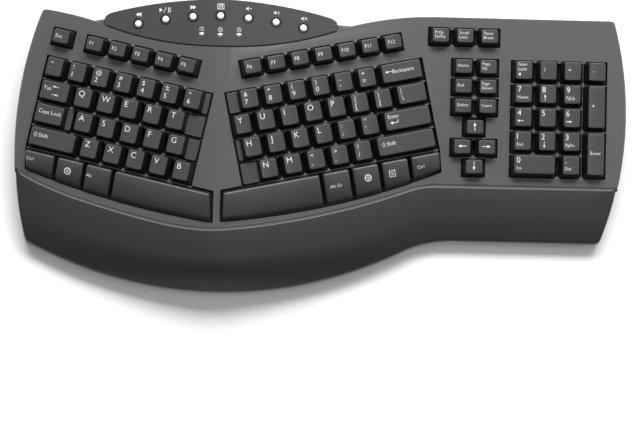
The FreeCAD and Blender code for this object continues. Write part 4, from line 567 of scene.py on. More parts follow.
key_plastic = masked_plastic("key_plastic", KEY_SKIRT_PAINTED_SHADE, KEY_TOP, 0.38, grain=2400.0, depth=0.1)
KINDS = {
    "main": ("keys_left_numbers key_tab keys_left_q_row key_caps_lock keys_left_a_row key_shift_left "
             "keys_left_z_row keys_right_numbers key_backspace keys_right_q_row key_backslash "
             "keys_right_a_row key_enter keys_right_z_row key_shift_right keys_pad_top keys_pad_digits "
             "key_pad_plus key_pad_enter key_pad_zero").split(),
    "low": "key_esc keys_f1_f5 keys_f6_f12 keys_system keys_nav keys_arrows".split(),
    "thumb": ("key_ctrl_left key_meta_left key_alt_left key_space_left key_space_right key_alt_right "
              "key_meta_right key_menu key_ctrl_right").split(),
}
STEP_HEIGHT = 5.4      # mm from a low step's top to the caps' top corners
STEP_INSET = 0.8
STEP_EDGE = 0.25
cap_outlines = {}


def step_shell(node, height):
    """The low step moulded beside some caps: a flat shelf as deep as the cap, reaching to the well's wall."""
    points = np.vstack(caps_of(node))
    shelf = points[np.abs(points[:, 2] - (height - STEP_HEIGHT)) < 0.08]
    if len(shelf) < 4:
        return None
    top = hull(shelf)
    foot = inset(top, np.full(4, -STEP_INSET))
    rings, lit = [], []
    # Light shares per ring paint shade on the step's side; its top shows its own colour
    for outline, radius, level, light in (
            (foot, 1.2, -SKIRT_DEPTH, 0), (top, 1.0, -STEP_HEIGHT - STEP_EDGE, 0.3),
            (inset(top, np.full(4, STEP_EDGE * 0.3)), 0.9, -STEP_HEIGHT - STEP_EDGE * 0.3, 1),
            (inset(top, np.full(4, STEP_EDGE)), 0.8, -STEP_HEIGHT, 1),
            (inset(top, np.full(4, 2 * STEP_EDGE)), 0.6, -STEP_HEIGHT, 1)):
        rings.append(raised(rounded(outline, radius), height + level))
        lit.append(light)
    return rings, lit


for kind, names in KINDS.items():
    for node in names:
        axes = section_axes(node)
        outlines, height = tops(node)
        flat_top = DISH if kind == "thumb" else 0.0
        shells, light = [], []
        for top in outlines:
            rings, lit = cap_rings(top, height, kind, SKIRT_DEPTH - flat_top)
            shells.append(shell(rings))
            light += lit + [0, 1]
            middle = (top.min(0) + top.max(0)) / 2
            stem = oblong(*(middle - STEM), *(middle + STEM))
            foot = height + flat_top - STEM_DEPTH
            shells.append(shell([raised(stem, foot), raised(stem, height - STEM_SINK)]))
            light += [0] * 10
            cap_outlines.setdefault(node, []).append((top, dish_height(top, height, kind)))
        step = step_shell(node, height)
        if step:
            shells.append(shell(step[0]))
            light += list(np.repeat(step[1], len(step[0][0]))) + [0, 1]
        caps = section_object(node + "_caps", shells, axes, key_plastic, light)
        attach(caps, *body_of(frame["nodes"][node]))
        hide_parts(node)


# Ribs between the key rows: beads of the upper case that show between the skirts, painted paler than the case
# as a highlight on their tops, with a small four-cornered filler wherever the rounded corners of neighbouring
# caps leave room.
RIB_HIGHLIGHT_GREY = (0.17, 0.17, 0.18)
RIB_SINK = 0.3         # mm, how far the beads lie below the deck
RIB_DEEP = 2.2
CELL_GAP = 1.1         # mm between neighbouring skirts
CLEAR = 0.2            # mm kept free beside a moving skirt
CAP_HEIGHT = 7.0       # mm from the deck to a dished cap's top corners


def prism(flat, low, high):
    """Upright prism over a plain outline: two faces and a wall between them."""
    count = len(flat)
    step = np.arange(count)
    after = (step + 1) % count
    points = np.vstack([raised(flat, low), raised(flat, high)])
    walls = np.stack([step, after, count + after, count + step], 1).tolist()
    return points, [step[::-1].tolist(), (step + count).tolist()] + walls


def corner_filler(corner, side, away):
    """Filler outside one rounded skirt corner: an arc kept clear of the skirt, closed over the cell's
    corner. The arc runs from the row gap through 60 degrees; the tip lies on the column gap's middle."""
    angle = np.radians(np.linspace(80, 20, 8))
    reach = CORNER_LOW + 2 * CLEAR
    curve = np.column_stack([np.cos(angle), np.sin(angle)]) * reach - CORNER_LOW
    half = CELL_GAP / 2
    flat = np.vstack([curve, [[half, curve[-1, 1] - 0.3], [half, half], [curve[0, 0] - 0.6, half]]])
    flat = flat * (side, away) + corner
    return flat[::-1] if side * away > 0 else flat


def foot_box(top, kind):
    """Bounds of a cap's skirt in plan: (left, front), (right, back)."""
    foot = inset(top, -side_margins(top, FLARE[kind]))
    return foot.min(0), foot.max(0)


# Painted highlight: the case's own plastic, drawn paler on the beads and fillers
rib_painted_highlight = grained("rib_painted_highlight", RIB_HIGHLIGHT_GREY, 0.4)
for sample in ("keys_left_a_row", "keys_right_a_row", "keys_pad_digits"):
    axes = section_axes(sample)
    boxes = []
    for kind, names in KINDS.items():
        for node in names:
            if np.allclose(section_axes(node), axes):
                deck_at = tops(node)[1] - CAP_HEIGHT + (DISH if kind == "thumb" else 0)
                boxes += [(*foot_box(top, kind), kind) for top, surface in cap_outlines[node]]
    level = (deck_at - RIB_DEEP, deck_at - RIB_SINK)
    shells = []
    half = CELL_GAP / 2 - CLEAR
    for low, high, kind in boxes:
        below = [b for b in boxes if 0 < low[1] - b[1][1] < 2 * CELL_GAP
                 and min(high[0], b[1][0]) - max(low[0], b[0][0]) > 1]
        for under_low, under_high, _ in below:
            left = max(low[0], under_low[0]) - CELL_GAP / 2
            right = min(high[0], under_high[0]) + CELL_GAP / 2
            middle = (low[1] + under_high[1]) / 2
            shells.append(prism(oblong(left, middle - half, right, middle + half), *level))
        beside = [side for side in (-1, 1) if kind != "thumb" and any(
            min(high[1], b[1][1]) - max(low[1], b[0][1]) > 1
            and 0 < (b[0][0] - high[0] if side > 0 else low[0] - b[1][0]) < 2 * CELL_GAP for b in boxes)]
        for side in beside:
            for away, b in ((-1, low[1]), (1, high[1])):
                corner = np.array([high[0] if side > 0 else low[0], b])
                shells.append(prism(corner_filler(corner, side, away), *level))
    ribs = section_object(sample.replace("keys", "ribs"), shells, axes, rib_painted_highlight)
    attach(ribs, "case")


# Legends: white print a hair above the caps, each line set out from the crown's left and back edges. Words
# come from a plain sans face; arrows, locks and the other signs are drawn with strokes and small outlines.
PRINT_WHITE = (0.72, 0.73, 0.75)
PRINT_LIFT = 0.05      # mm above the cap
ARC = np.linspace(0, math.pi, 9)


def set_word(word):
    """A word's flat mesh scaled so that capitals stand one unit high, its left end at zero."""
    curve = bpy.data.curves.new("word", "FONT")
    curve.resolution_u = 3
    curve.offset = -0.008
    results = []
    holder = bpy.data.objects.new("word", curve)
    bpy.context.scene.collection.objects.link(holder)
    for body in ("H", word):
        curve.body = body
        bpy.context.view_layer.update()
        mesh = holder.to_mesh()
        results.append((points_of(mesh)[:, :2], [list(face.vertices) for face in mesh.polygons]))
        holder.to_mesh_clear()
    bpy.data.objects.remove(holder)
    bpy.data.curves.remove(curve)
    flat, faces = results[1]
    return (flat - (flat[:, 0].min(), 0)) / results[0][0][:, 1].max(), faces


def strokes(*lines, width):
    """Quads along straight lines, each widened by half the line width on both sides.

    Every line is cut in four, so that it follows a curved top."""
    flat, faces = [], []
    quarters = np.linspace(0, 1, 5)[1:, None]
    for line in lines:
        line = np.array(line, float)
        line = np.vstack([line[:1]] + [a + (b - a) * quarters for a, b in zip(line, line[1:])])
        ahead = unit(np.diff(line, axis=0))
        aside = np.column_stack([-ahead[:, 1], ahead[:, 0]]) * width / 2
        start, end = line[:-1] - ahead * width / 3, line[1:] + ahead * width / 3
        first = len(flat)
        flat += np.stack([start - aside, end - aside, end + aside, start + aside], 1).reshape(-1, 2).tolist()
        faces += (first + np.arange(len(ahead) * 4).reshape(-1, 4)).tolist()
    return np.array(flat), faces


def plate(*outline):
    """One filled outline."""
    return np.array(outline, float), [list(range(len(outline)))]


def outlined(width, *box):
    """A rectangle's outline in strokes."""
    return strokes(oblong(*box) + oblong(*box)[:1], width=width)


def together(*signs):
    """Several signs as one."""
    return joined(signs)


def turned(sign, degrees):
    """A sign turned about the middle of its unit square."""
    c, s = math.cos(math.radians(degrees)), math.sin(math.radians(degrees))
    return (sign[0] - 0.5) @ np.array([[c, s], [-s, c]]) + 0.5, sign[1]


def shifted(sign, right):
    return sign[0] + (right, 0), sign[1]


ring = np.column_stack([0.5 + 0.5 * np.cos(2 * ARC), 0.5 + 0.5 * np.sin(2 * ARC)])
shackle = np.column_stack([0.5 + 0.22 * np.cos(ARC), 0.62 + 0.24 * np.sin(ARC)])
arrow = together(strokes([(-0.1, 0.5), (0.8, 0.5)], width=0.1),
                 plate((0.62, 0.28), (1.12, 0.5), (0.62, 0.72)))
hollow_arrow = strokes([(0.32, 0.05), (0.32, 0.48), (0.08, 0.48), (0.5, 0.95), (0.92, 0.48), (0.68, 0.48),
                        (0.68, 0.05), (0.32, 0.05)], width=0.09)
speaker = together(plate(*oblong(0.02, 0.36, 0.2, 0.64)),
                   plate((0.24, 0.34), (0.5, 0.12), (0.5, 0.88), (0.24, 0.66)))
triangle = plate((0, 0.1), (0.62, 0.5), (0, 0.9))
SIGNS = {
    "right": arrow,
    "left": turned(arrow, 180),
    "up": turned(arrow, 90),
    "down": turned(arrow, 270),
    "tab right": together(arrow, strokes([(1.2, 0.25), (1.2, 0.75)], width=0.1)),
    "tab left": together(turned(arrow, 180), strokes([(-0.2, 0.25), (-0.2, 0.75)], width=0.1)),
    "shift": hollow_arrow,
    "enter": together(strokes([(1.5, 1.0), (1.5, 0.5), (0.3, 0.5)], width=0.13),
                      plate((0.45, 0.2), (0.45, 0.8), (-0.1, 0.5))),
    "ring": together(strokes(ring, width=0.15),
                     strokes([(0.5, 0.28), (0.5, 0.72)], [(0.28, 0.5), (0.72, 0.5)], width=0.13)),
    "menu": together(outlined(0.1, 0.05, 0.02, 0.95, 0.98),
                     strokes(*[[(0.3, h), (0.7, h)] for h in (0.28, 0.5, 0.72)], width=0.09)),
    "lock": together(plate(*oblong(0.15, 0.0, 0.85, 0.55)), strokes(shackle, width=0.12)),
    "open lock": together(outlined(0.11, 0.1, 0.0, 0.9, 0.55), strokes(shackle, width=0.11),
                          strokes([(0.5, 0.16), (0.5, 0.38)], width=0.11)),
    "rewind": together(*[shifted(turned(triangle, 180), step) for step in (-0.42, 0.05)]),
    "play": together(shifted(triangle, -0.75), strokes([(0.12, 0.0), (0.5, 1.0)], width=0.1),
                     strokes(*[[(x, 0.1), (x, 0.9)] for x in (1.0, 1.32)], width=0.17)),
    "forward": together(*[shifted(triangle, step) for step in (-0.05, 0.42)]),
    "calculator": together(
        outlined(0.1, -0.1, 0.0, 1.1, 1.0), plate(*oblong(0.1, 0.66, 0.9, 0.84)),
        *[plate(*oblong(x, y, x + 0.16, y + 0.14)) for x in (0.1, 0.42, 0.74) for y in (0.16, 0.4)]),
    "volume down": together(speaker, strokes([(0.7, 0.5), (1.1, 0.5)], width=0.12)),
    "volume up": together(speaker,
                          strokes([(0.7, 0.5), (1.2, 0.5)], [(0.95, 0.25), (0.95, 0.75)], width=0.12)),
    "mute": together(speaker, strokes([(0.72, 0.3), (1.12, 0.7)], [(0.72, 0.7), (1.12, 0.3)], width=0.12)),
}


def print_on(labels, origin, surface):
    """Points and faces of one key's labels; origin is the crown's left back corner.

    A label is (word or sign, height, distance from the left, distance of its middle from the back)."""
    shells = []
    for text, height, right, down in labels:
        flat, faces = SIGNS[text] if text in SIGNS else set_word(text)
        place = flat * height + origin + (right, -down - height / 2)
        shells.append((raised(place, surface(*place.T) + PRINT_LIFT), faces))
    return joined(shells)


def letters(row):
    return [[(letter, 4.3, 2.3, 3.9)] for letter in row]


def pairs(upper, lower):
    return [[(above, 3.3, 2.5, 3.5), (below, 3.7, 2.4, 9.2)] for above, below in zip(upper, lower)]


def small(*words):
    return [[(word, 2.7, 2.2, 5.0)] for word in words]


def stacked(*lines, height=2.3, first=3.0, step=3.4):
    """Words under each other."""
    return [(word, height, 1.7, first + step * k) for k, word in enumerate(lines)]


digit_words = (("Home",), ("up",), ("PgUp",), ("left",), (), ("right",), ("End",), ("down",), ("PgDn",))
LEGENDS = {
    "key_esc": small("Esc"),
    "keys_f1_f5": small("F1", "F2", "F3", "F4", "F5"),
    "keys_f6_f12": small("F6", "F7", "F8", "F9", "F10", "F11", "F12"),
    "keys_left_numbers": pairs("~!@#$%^", "`123456"),
    "keys_right_numbers": pairs("&*()_+", "7890-="),
    "key_tab": [[("Tab", 2.8, 1.9, 5.6), ("tab left", 3.6, 9.6, 3.6), ("tab right", 3.6, 9.6, 9.8)]],
    "keys_left_q_row": letters("QWERT"),
    "keys_right_q_row": letters("YUIOP") + pairs("{}", "[]"),
    "key_backslash": pairs("|", "\\"),
    "key_backspace": [[("left", 4.4, 2.8, 5.9), ("Backspace", 2.9, 8.3, 6.0)]],
    "key_caps_lock": [[("Caps Lock", 2.9, 2.3, 5.4)]],
    "keys_left_a_row": letters("ASDFG"),
    "keys_right_a_row": letters("HJKL") + pairs(":\"", ";'"),
    "key_enter": [[("Enter", 2.9, 2.6, 3.6), ("enter", 4.0, 4.0, 8.6)]],
    "key_shift_left": [[("shift", 3.6, 2.4, 5.6), ("Shift", 2.9, 6.6, 5.6)]],
    "keys_left_z_row": letters("ZXCVB"),
    "keys_right_z_row": letters("NM") + pairs("<>?", ",./"),
    "key_shift_right": [[("shift", 3.6, 2.8, 5.6), ("Shift", 2.9, 7.2, 5.6)]],
    "key_ctrl_left": [[("Ctrl", 2.5, 2.6, 5.8)]],
    "key_meta_left": [[("ring", 5.0, 7.0, 8.7)]],
    "key_alt_left": [[("Alt", 2.5, 1.4, 7.9)]],
    "key_alt_right": [[("Alt Gr", 2.5, 3.8, 10.8)]],
    "key_meta_right": [[("ring", 5.0, 8.4, 9.4)]],
    "key_menu": [[("menu", 5.0, 4.4, 9.6)]],
    "key_ctrl_right": [[("Ctrl", 2.5, 3.6, 8.6)]],
    "keys_system": [stacked("PrtSc", "SysRq", step=3.2), stacked("Scroll", "Lock"),
                    stacked("Pause", "Break")],
    "keys_nav": [stacked("Home", first=4.6), stacked("Page", "Up"), stacked("End", first=4.6),
                 stacked("Page", "Down"), stacked("Delete", first=4.6, height=2.2),
                 stacked("Insert", first=4.6)],
    "keys_arrows": [[(way, 5.2, 3.6, 4.9)] for way in ("up", "left", "right", "down")],
    "keys_pad_top": [stacked("Num", "Lock", "lock", height=2.4, first=2.6, step=3.7), [("/", 3.2, 2.6, 6.6)],
                     [("*", 3.4, 2.8, 6.9)], [("-", 3.4, 3.0, 6.6)]],
    "keys_pad_digits": [[(digit, 4.3, 1.7, 3.6)] + [
        (word, 2.3 if word not in SIGNS else 4.0, 1.6 if word not in SIGNS else 2.0, 9.8) for word in words]
        for digit, words in zip("789456123", digit_words)] + [[(".", 4.3, 1.9, 3.2), ("Del", 2.4, 1.7, 9.8)]],
    "key_pad_plus": [[("+", 3.6, 2.4, 15.6)]],
    "key_pad_enter": [[("Enter", 2.6, 2.2, 15.6)]],
    "key_pad_zero": [[("0", 4.3, 1.9, 3.6), ("Ins", 2.4, 1.9, 9.8)]],
}
print_white = grained("print_white", PRINT_WHITE, 0.45, drift=0.03)
for node, keys in LEGENDS.items():
    shells = [print_on(labels, np.array([top[:, 0].min(), top[:, 1].max()]), surface)
              for labels, (top, surface) in zip(keys, cap_outlines[node])]
    legend = section_object(node + "_print", shells, section_axes(node), print_white)
    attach(legend, *body_of(frame["nodes"][node]))


# Palm rest: one soft-touch moulding that falls from the seam to the front edge. Along the seam run a dark
# line in the coat's own colour, a dull band at three tenths of the bead's grey and a thin bead painted bright
# as a highlight, then the soft coat begins; the front edge is rolled over.
SEAM_LOW, SEAM_BOW = -67.7, 298.0        # mm: the arc's lowest Y and its radius, left of the ridge
SEAM_RIGHT = ((-80.0, -67.7), (-3.3, -54.2), (77.8, -28.3))      # three points of the arc right of it
SEAM_FLAT = -26.3
SEAM_REACH = 170.0     # how far left of the ridge its arc goes on
SEAM_LEFT, SEAM_START = -236.0, -240.0   # X where the seam's left end is taken, and where its swell starts
SEAM_STEP, SEAM_SWELL = 1.3, 3.7         # how far the coat reaches over the deck's front edge
# Third column: share of the painted highlight grey, 1 on the bead and 0.3 on the band
BEAD_PROFILE = (       # mm from the seam, mm below the coat's level, share of the bead's grey
    (0.2, 5.0, 0), (0.2, 0.12, 0), (0.25, 0.1, 0), (1.0, 0.1, 0), (1.05, 0.02, 0.3),
    (2.4, 0.0, 0.3), (2.45, 0.0, 1), (3.05, 0.02, 1), (3.1, 0.06, 0), (3.4, 0.0, 0))
COAT_LIFT = 0.15       # mm the coat stands over the deck
FRONT_BOW, BOW_HALF = ((-80.0, 207.4), 322.5), 290.0     # the front's arc, and how far aside it is used
FRONT_FLAT, FRONT_BLEND, CORNER = -71.1, 90.0, 5.0       # straight front's Y; radii of blend and corners
PALM_FALL, PALM_FRONT = 0.07, 11.0       # slope from the seam, and the front edge's height
PALM_BEND, PALM_POWER = 0.45, 2.4        # share of the way where the roll starts, and how late it falls
RIM_SHOW = 1.0         # mm of the tray's rim left bare all round
PALM_ROLL = 1.8        # mm, rolled front edge
PALM_FOOT = 8.05
PALM_SOFT = (0.019, 0.019, 0.0212)
BEAD_HIGHLIGHT_GREY = (0.24, 0.24, 0.25)


def circle_through(first, second, third):
    """Centre and radius of a circle: its centre solves two equations of equal distance."""
    a, b, c = map(np.array, (first, second, third))
    centre = np.linalg.solve(2 * np.array([b - a, c - a]), [b @ b - a @ a, c @ c - a @ a])
    return centre, np.linalg.norm(centre - a)


def seam_line(x):
    """Y of the seam: an arc left of the ridge, another to the valley, straight beyond; averaged over 20 mm
    so that they run into each other. The step and a sine-squared swell carry the coat over the deck."""
    centre, radius = circle_through(*SEAM_RIGHT)
    end = SEAM_RIGHT[2][0]
    near = x[:, None] + np.linspace(-10, 10, 9)
    left = SEAM_LOW + SEAM_BOW - np.sqrt(SEAM_BOW ** 2 - np.clip(near - RIDGE_X, -SEAM_REACH, 0) ** 2)
    right = centre[1] - np.sqrt(radius ** 2 - (np.clip(near, RIDGE_X, end) - centre[0]) ** 2)
    swell = np.sin(math.pi * np.clip((near - SEAM_START) / (RIDGE_X - SEAM_START), 0, 1)) ** 2
    left += SEAM_STEP + SEAM_SWELL * swell
    return np.where(near < RIDGE_X, left, np.where(near < end, right + SEAM_STEP, SEAM_FLAT)).mean(1)


def arc_points(circle, start, end, count=60):
    """Points on a circle from one angle to another, in degrees."""
    angle = np.radians(np.linspace(start, end, count))
    return np.array(circle[0]) + circle[1] * np.column_stack([np.cos(angle), np.sin(angle)])


def shrunk(circle, margin):
    return circle[0], circle[1] - margin


def meeting(first, second, side):
    """Where two circles cross, on the given side of the line between their centres."""
    a, b = np.array(first[0]), np.array(second[0])
    gap = np.linalg.norm(b - a)
    along = (first[1] ** 2 - second[1] ** 2 + gap ** 2) / (2 * gap)
    ahead = (b - a) / gap
    return a + ahead * along + side * math.sqrt(first[1] ** 2 - along ** 2) * np.array([-ahead[1], ahead[0]])


def bearing(centre, point):
    """Degrees from a centre to a point, 0 to 360."""
    return math.degrees(math.atan2(point[1] - centre[1], point[0] - centre[0])) % 360


def palm_outline(inside):
    """Outline of the palm rest from the seam's left end round the front to its right end, kept inside the
    case's own by a margin: side arc, corner, front bow, blend, straight front, corner, side arc."""
    left, bow, right = [shrunk(circle, inside) for circle in (LEFT_SIDE, FRONT_BOW, RIGHT_SIDE)]
    flat, turn, corner = FRONT_FLAT + inside, FRONT_BLEND + inside, CORNER - inside
    near_left = meeting(shrunk(left, corner), shrunk(bow, corner), 1)
    rise = flat + corner
    near_right = np.array([
        right[0][0] + math.sqrt((right[1] - corner) ** 2 - (rise - right[0][1]) ** 2), rise])
    blend_x = bow[0][0] + math.sqrt((bow[1] + turn) ** 2 - (bow[0][1] - flat + turn) ** 2)
    hollow = np.array([blend_x, flat - turn])
    seam_left = seam_line(np.array([SEAM_LEFT]))[0]
    start = bearing(left[0], (left[0][0] - left[1], seam_left))
    join = bearing(hollow, bow[0])
    return np.vstack([
        arc_points(left, start, bearing(left[0], near_left)),
        arc_points((near_left, corner), bearing(left[0], near_left), bearing(bow[0], near_left), 8),
        arc_points(bow, bearing(bow[0], near_left), (join + 180) % 360, 160),
        arc_points((hollow, turn), join, 90, 40),
        arc_points((near_right, corner), 270, bearing(right[0], near_right), 8),
        arc_points(right, bearing(right[0], near_right) - 360,
                   math.degrees(math.asin((SEAM_FLAT - right[0][1]) / right[1]))),
    ])


def spread(points, count):
    """The same line with points at even steps of its length."""
    way = np.concatenate([[0], np.cumsum(np.linalg.norm(np.diff(points, axis=0), axis=1))])
    even = np.linspace(0, way[-1], count)
    return np.column_stack([np.interp(even, way, points[:, k]) for k in (0, 1)])


def palm_level(flat):
    """Height of the palm rest over plan points: the deck's height at the seam, less a gentle fall, less a
    roll that grows as the 2.4th power of the way from the bend to the front edge."""
    x, y = flat[..., 0], flat[..., 1]
    seam = seam_line(x.ravel()).reshape(x.shape)
    aside = np.clip(x - RIDGE_X, -BOW_HALF, BOW_HALF)
    front = np.minimum(FRONT_BOW[0][1] - np.sqrt(FRONT_BOW[1] ** 2 - aside ** 2), FRONT_FLAT)
    run = seam - y
    share = np.clip(run / (seam - front), 0, 1.2)
    straight = deck_level(x, seam) - run * PALM_FALL
    fall = (straight - PALM_FRONT) * np.clip((share - PALM_BEND) / (1 - PALM_BEND), 0, None) ** PALM_POWER
    return straight + COAT_LIFT - fall


def palm_shell(count=420):
    """Closed shell with its painted-highlight mask: at every step along the front, a section runs from the
    seam over line, band, bead, soft surface and rolled edge to the foot and back underneath."""
    outer = spread(palm_outline(RIM_SHOW), count)
    seam_x = np.interp(np.linspace(0, 1, count), [0, 1], outer[[0, -1], 0])
    seam = np.column_stack([seam_x, seam_line(seam_x)])
    length = np.maximum(np.linalg.norm(outer - seam, axis=1, keepdims=True), 1e-6)
    ahead = (outer - seam) / length
    rows, lit = [], []

    def add(flat, level, light=0):
        rows.append(raised(flat, np.maximum(level, PALM_FOOT)))
        lit.append(light)

    for far, drop, light in BEAD_PROFILE:
        flat = seam + ahead * np.minimum(far, length * 0.4)
        add(flat, palm_level(flat) - drop, light)
    for share in np.linspace(0, 1, 44)[1:-1]:
        flat = seam + ahead * (far + (length - far - PALM_ROLL) * share).clip(length * 0.4, None)
        add(flat, palm_level(flat))
    for turn in np.linspace(math.pi / 2, 0, 9):
        flat = outer - ahead * np.minimum(PALM_ROLL * (1 - np.cos(turn)), length * 0.5)
        add(flat, palm_level(flat) - PALM_ROLL * (1 - np.sin(turn)))
    for flat in (outer, seam + ahead * BEAD_PROFILE[0][0]):
        add(flat, PALM_FOOT)
    form = shell(np.array(rows).transpose(1, 0, 2)[:, ::-1])
    return form, np.concatenate([np.tile(lit[::-1], count), [0, 0]])


ROW_AXES = np.eye(3)
# Mask 0 is the coat's own colour, mask 1 the bead's painted highlight
palm_coat = masked_plastic("palm_coat", PALM_SOFT, BEAD_HIGHLIGHT_GREY, 0.55, grain=2600.0, depth=0.3,
                           Specular_IOR_Level=0.35)
palm_form, light = palm_shell()
palm = section_object("palm_rest_soft", [palm_form], ROW_AXES, palm_coat, light)
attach(palm, "case")
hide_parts("palm_rest")


# Bottom tray, battery door and folding feet: dark structural plastic with small moulded radii. The tray's
# rim, of the same dark plastic, is painted pale as a highlight line below the palm rest.
TRAY_DARK = (0.03, 0.03, 0.032)
RIM_PAINTED_HIGHLIGHT = (0.5, 0.5, 0.51)
RIM_LOW, RIM_HIGH = 0.0078, 0.0081       # m, heights between which the outer wall is the rim
FACING = 0.3           # a normal's Z beyond which a face looks up or down
tray_plastic = grained("tray_plastic", TRAY_DARK, 0.55, grain=900.0, depth=0.35)
rim_painted_highlight = grained("rim_painted_highlight", RIM_PAINTED_HIGHLIGHT, 0.4)

tray = joined_copy("bottom_case", "bottom_tray", rim_painted_highlight, tray_plastic)
# Every face but the rim's band takes the dark plastic; the rim keeps the painted highlight
for face in tray.data.polygons:
    up = face.normal.z
    if face.center.z > RIM_HIGH or up < -FACING or (face.center.z < RIM_LOW and up > FACING):
        face.material_index = 1
soften_edges(tray, 0.0002)
for node in ("battery_door", "left_folding_foot", "right_folding_foot"):
    copy = joined_copy(node, node + "_moulded", tray_plastic)
    soften_edges(copy, 0.00025)
foot_rubber = grained("foot_rubber", (0.012, 0.012, 0.012), 0.8, grain=500.0, depth=0.4)
pads = joined_copy("rubber_feet", "rubber_pads", foot_rubber)
soften_edges(pads, 0.0003)
for node, name, made in (
        ("rubber_domes", "silicone_domes", grained("dome_silicone", (0.35, 0.35, 0.36), 0.45, grain=700.0)),
        ("switch_membrane", "membrane", grained("membrane_film", (0.3, 0.34, 0.35), 0.25)),
        ("case_screws", "tray_screws", grained("screw_steel", (0.25, 0.25, 0.25), 0.35, Metallic=1.0))):
    joined_copy(node, name, made)


# Media panel: a crescent in slightly darker plastic, let into the deck; along its front a near-black strip is
# painted as the gap's shade.
# Each button is a pearl dome in a dark dished ring; signs are printed behind them and over the lenses.
PANEL_GREY = (0.048, 0.048, 0.053)
PANEL_DROP = 0.5       # mm below the deck
PANEL_FRONT = ((RIDGE_X, 322.6), 250.6)  # centre and radius of its front edge
# Painted shade strip over the panel's front edge: its start behind the edge, width, heights and ends in
# degrees
GAP_SHADE_START, GAP_SHADE_WIDE = -0.42, 1.4         # mm behind the front edge, and the shadow gap's width
GAP_SHADE_LOW, GAP_SHADE_HIGH, GAP_SHADE_ENDS = -1.2, 0.04, (249.1, 290.9)         # heights, and its ends in degrees
MEDIA_PITCH, MEDIA_Y, MEDIA_BOW = 21.2, 95.6, 350.0
MEDIA_NAMES = ("rewind", "play", "forward", "calculator", "volume_down", "volume_up", "mute")
BUTTON_PROFILE = [(1.8, -5.0), (1.8, -2.5), (3.8, -2.5), (3.8, -1.6), (2.6, -1.6), (2.6, 0.35)]
RING_PROFILE = ((4.35, -0.3), (4.35, 0.1), (4.2, 0.22), (3.95, 0.22), (3.4, 0.1), (3.05, 0.04), (3.0, -0.3))
LENS_PITCH, LENS_Y, LENS_STRETCH = 14.3, 81.2, 2.2
SIGN_HIGH, SIGN_BACK = 4.0, 7.2        # mm, height of a sign and its distance behind its button

panel_plastic = grained("panel_plastic", PANEL_GREY, 0.42)
panel = joined_copy("media_panel", "media_crescent", panel_plastic, well_shade)
# Faces in the panel's holes and recesses get the near-black painted shade
shade_inner_faces(panel, 0.05)
soften_edges(panel, 0.0004, 0)


def panel_level(x, y):
    return deck_level(x, y) - PANEL_DROP


def revolved(profile, place):
    """A profile of (radius, height) turned in 40 steps about the line that stands off the panel there."""
    x, y = place
    step = 0.05
    across = np.array([step, 0, panel_level(x + step, y) - panel_level(x, y)]) / step
    back = np.array([0, step, panel_level(x, y + step) - panel_level(x, y)]) / step
    off, side = unit(np.cross(across, back)), unit(across)
    profile = np.array(profile, float)
    angle = np.linspace(0, 2 * math.pi, 40, endpoint=False)
    turn = np.cos(angle)[:, None] * side + np.sin(angle)[:, None] * np.cross(off, side)
    middle = np.array([x, y, float(panel_level(x, y))])
    return middle + profile[:, 0, None, None] * turn[None] + (profile[:, 1, None] * off)[:, None]


def dome(radius, foot, top, steps=7):
    """Profile points of a shallow dome: half an ellipse from its rim to just short of its middle."""
    turn = np.linspace(0, math.pi / 2, steps)[:-1]
    return list(zip(radius * np.cos(turn), foot + (top - foot) * np.sin(turn)))


def closed_ring(rings):
    """Rings as a tube bent back on itself: their walls, and one more band from the last ring to the first."""
    points, faces = shell(rings)
    levels, count = rings.shape[:2]
    around = np.arange(count)
    after = np.roll(around, -1)
    last = (levels - 1) * count
    closing = np.stack([last + around, last + after, after, around], 1).tolist()
    return points[:-2], faces[:last] + closing


# A near-black strip over the panel's front edge, painted as the gap's shade
gap_shade_rings = []
for back, lift in ((GAP_SHADE_START, GAP_SHADE_LOW), (GAP_SHADE_START, GAP_SHADE_HIGH),
                   (GAP_SHADE_START + GAP_SHADE_WIDE, GAP_SHADE_HIGH), (GAP_SHADE_START + GAP_SHADE_WIDE, GAP_SHADE_LOW)):
    flat = arc_points(shrunk(PANEL_FRONT, back), *GAP_SHADE_ENDS, 181)
    gap_shade_rings.append(raised(flat, panel_level(*flat.T) + lift))
gap_shade_form = shell(np.array(gap_shade_rings).transpose(1, 0, 2))
gap_shade_strip = section_object("panel_gap_shade_strip", [gap_shade_form], ROW_AXES, well_shade)
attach(gap_shade_strip, "case")

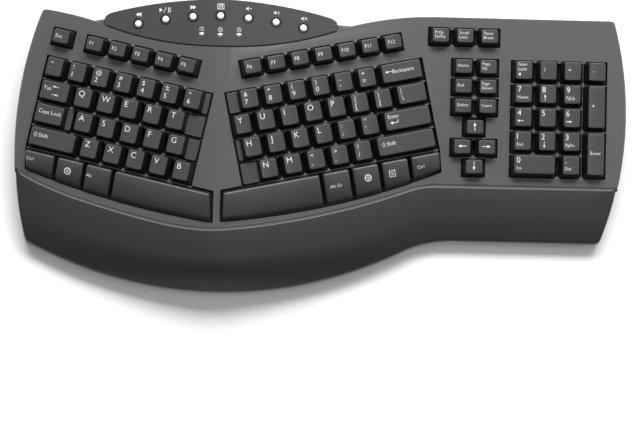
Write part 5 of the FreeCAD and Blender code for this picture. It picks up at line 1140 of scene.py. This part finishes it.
pearl = grained("button_pearl", (0.8, 0.81, 0.83), 0.25, drift=0.02)
ring_black = grained("ring_black", (0.012, 0.012, 0.013), 0.3)
ring_shells, signs = [], []
for index, name in enumerate(MEDIA_NAMES):
    x = RIDGE_X + (index - 3) * MEDIA_PITCH
    place = (x, MEDIA_Y - MEDIA_BOW + math.sqrt(MEDIA_BOW ** 2 - (x - RIDGE_X) ** 2))
    button_form = shell(revolved(BUTTON_PROFILE + dome(2.6, 0.4, 1.2), place))
    button = section_object(name + "_button", [button_form], ROW_AXES, pearl)
    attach(button, *body_of(frame["nodes"]["media_" + name]))
    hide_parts("media_" + name)
    ring_shells.append(closed_ring(revolved(RING_PROFILE, place)))
    signs.append((SIGNS[name.replace("_", " ")], (x, place[1] + SIGN_BACK), SIGN_HIGH))
button_rings = section_object("button_rings", ring_shells, ROW_AXES, ring_black)
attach(button_rings, "case")

lens_shells = []
for side in (-1, 0, 1):
    place = np.array([RIDGE_X + side * LENS_PITCH, LENS_Y + 0.6 * abs(side)])
    seat = revolved([(1.3, -1.3)] + dome(1.3, -0.05, 0.0, 3), place)
    lens = revolved([(0.95, -0.4)] + dome(0.95, 0.05, 0.3, 5), place)
    for rings in (seat, lens):
        x, y = rings[..., 0], rings[..., 1]
        wide = place[0] + (x - place[0]) * LENS_STRETCH
        rings[..., 2] += panel_level(wide, y) - panel_level(x, y)
        rings[..., 0] = wide
    lens_shells += [shell(seat), shell(lens)]
    signs.append((SIGNS["open lock"], place + (0, 4.4), 3.5))
lens_clear = grained("lens_clear", (0.62, 0.62, 0.6), 0.15)
lenses = section_object("lens_lozenges", lens_shells, ROW_AXES, lens_clear)
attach(lenses, "case")
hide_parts("indicator_lenses")

shells = []
for (flat, faces), (x, y), high in signs:
    place = (flat - 0.5) * high + (x, y)
    shells.append((raised(place, panel_level(*place.T) + PRINT_LIFT), faces))
panel_signs = section_object("panel_signs", shells, ROW_AXES, print_white)
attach(panel_signs, "case")


# Carried-over pieces keep their CAD form and get the finish of the real ones.
for node, made in (
        ("main_key_frame", grained("frame_black", (0.006, 0.006, 0.006), 0.7)),
        ("pad_key_frame", grained("frame_black_pad", (0.006, 0.006, 0.006), 0.7)),
        ("circuit_board", grained("board_mask", (0.01, 0.09, 0.035), 0.35)),
        ("batteries", grained("cell_sleeve", (0.12, 0.12, 0.13), 0.35)),
        ("battery_contacts", grained("contact_nickel", (0.6, 0.6, 0.57), 0.3, Metallic=1.0)),
        ("power_switch", grained("knob_pale", (0.4, 0.4, 0.41), 0.4))):
    node_object = frame["nodes"][node]
    node_object.data.materials.clear()
    node_object.data.materials.append(made)
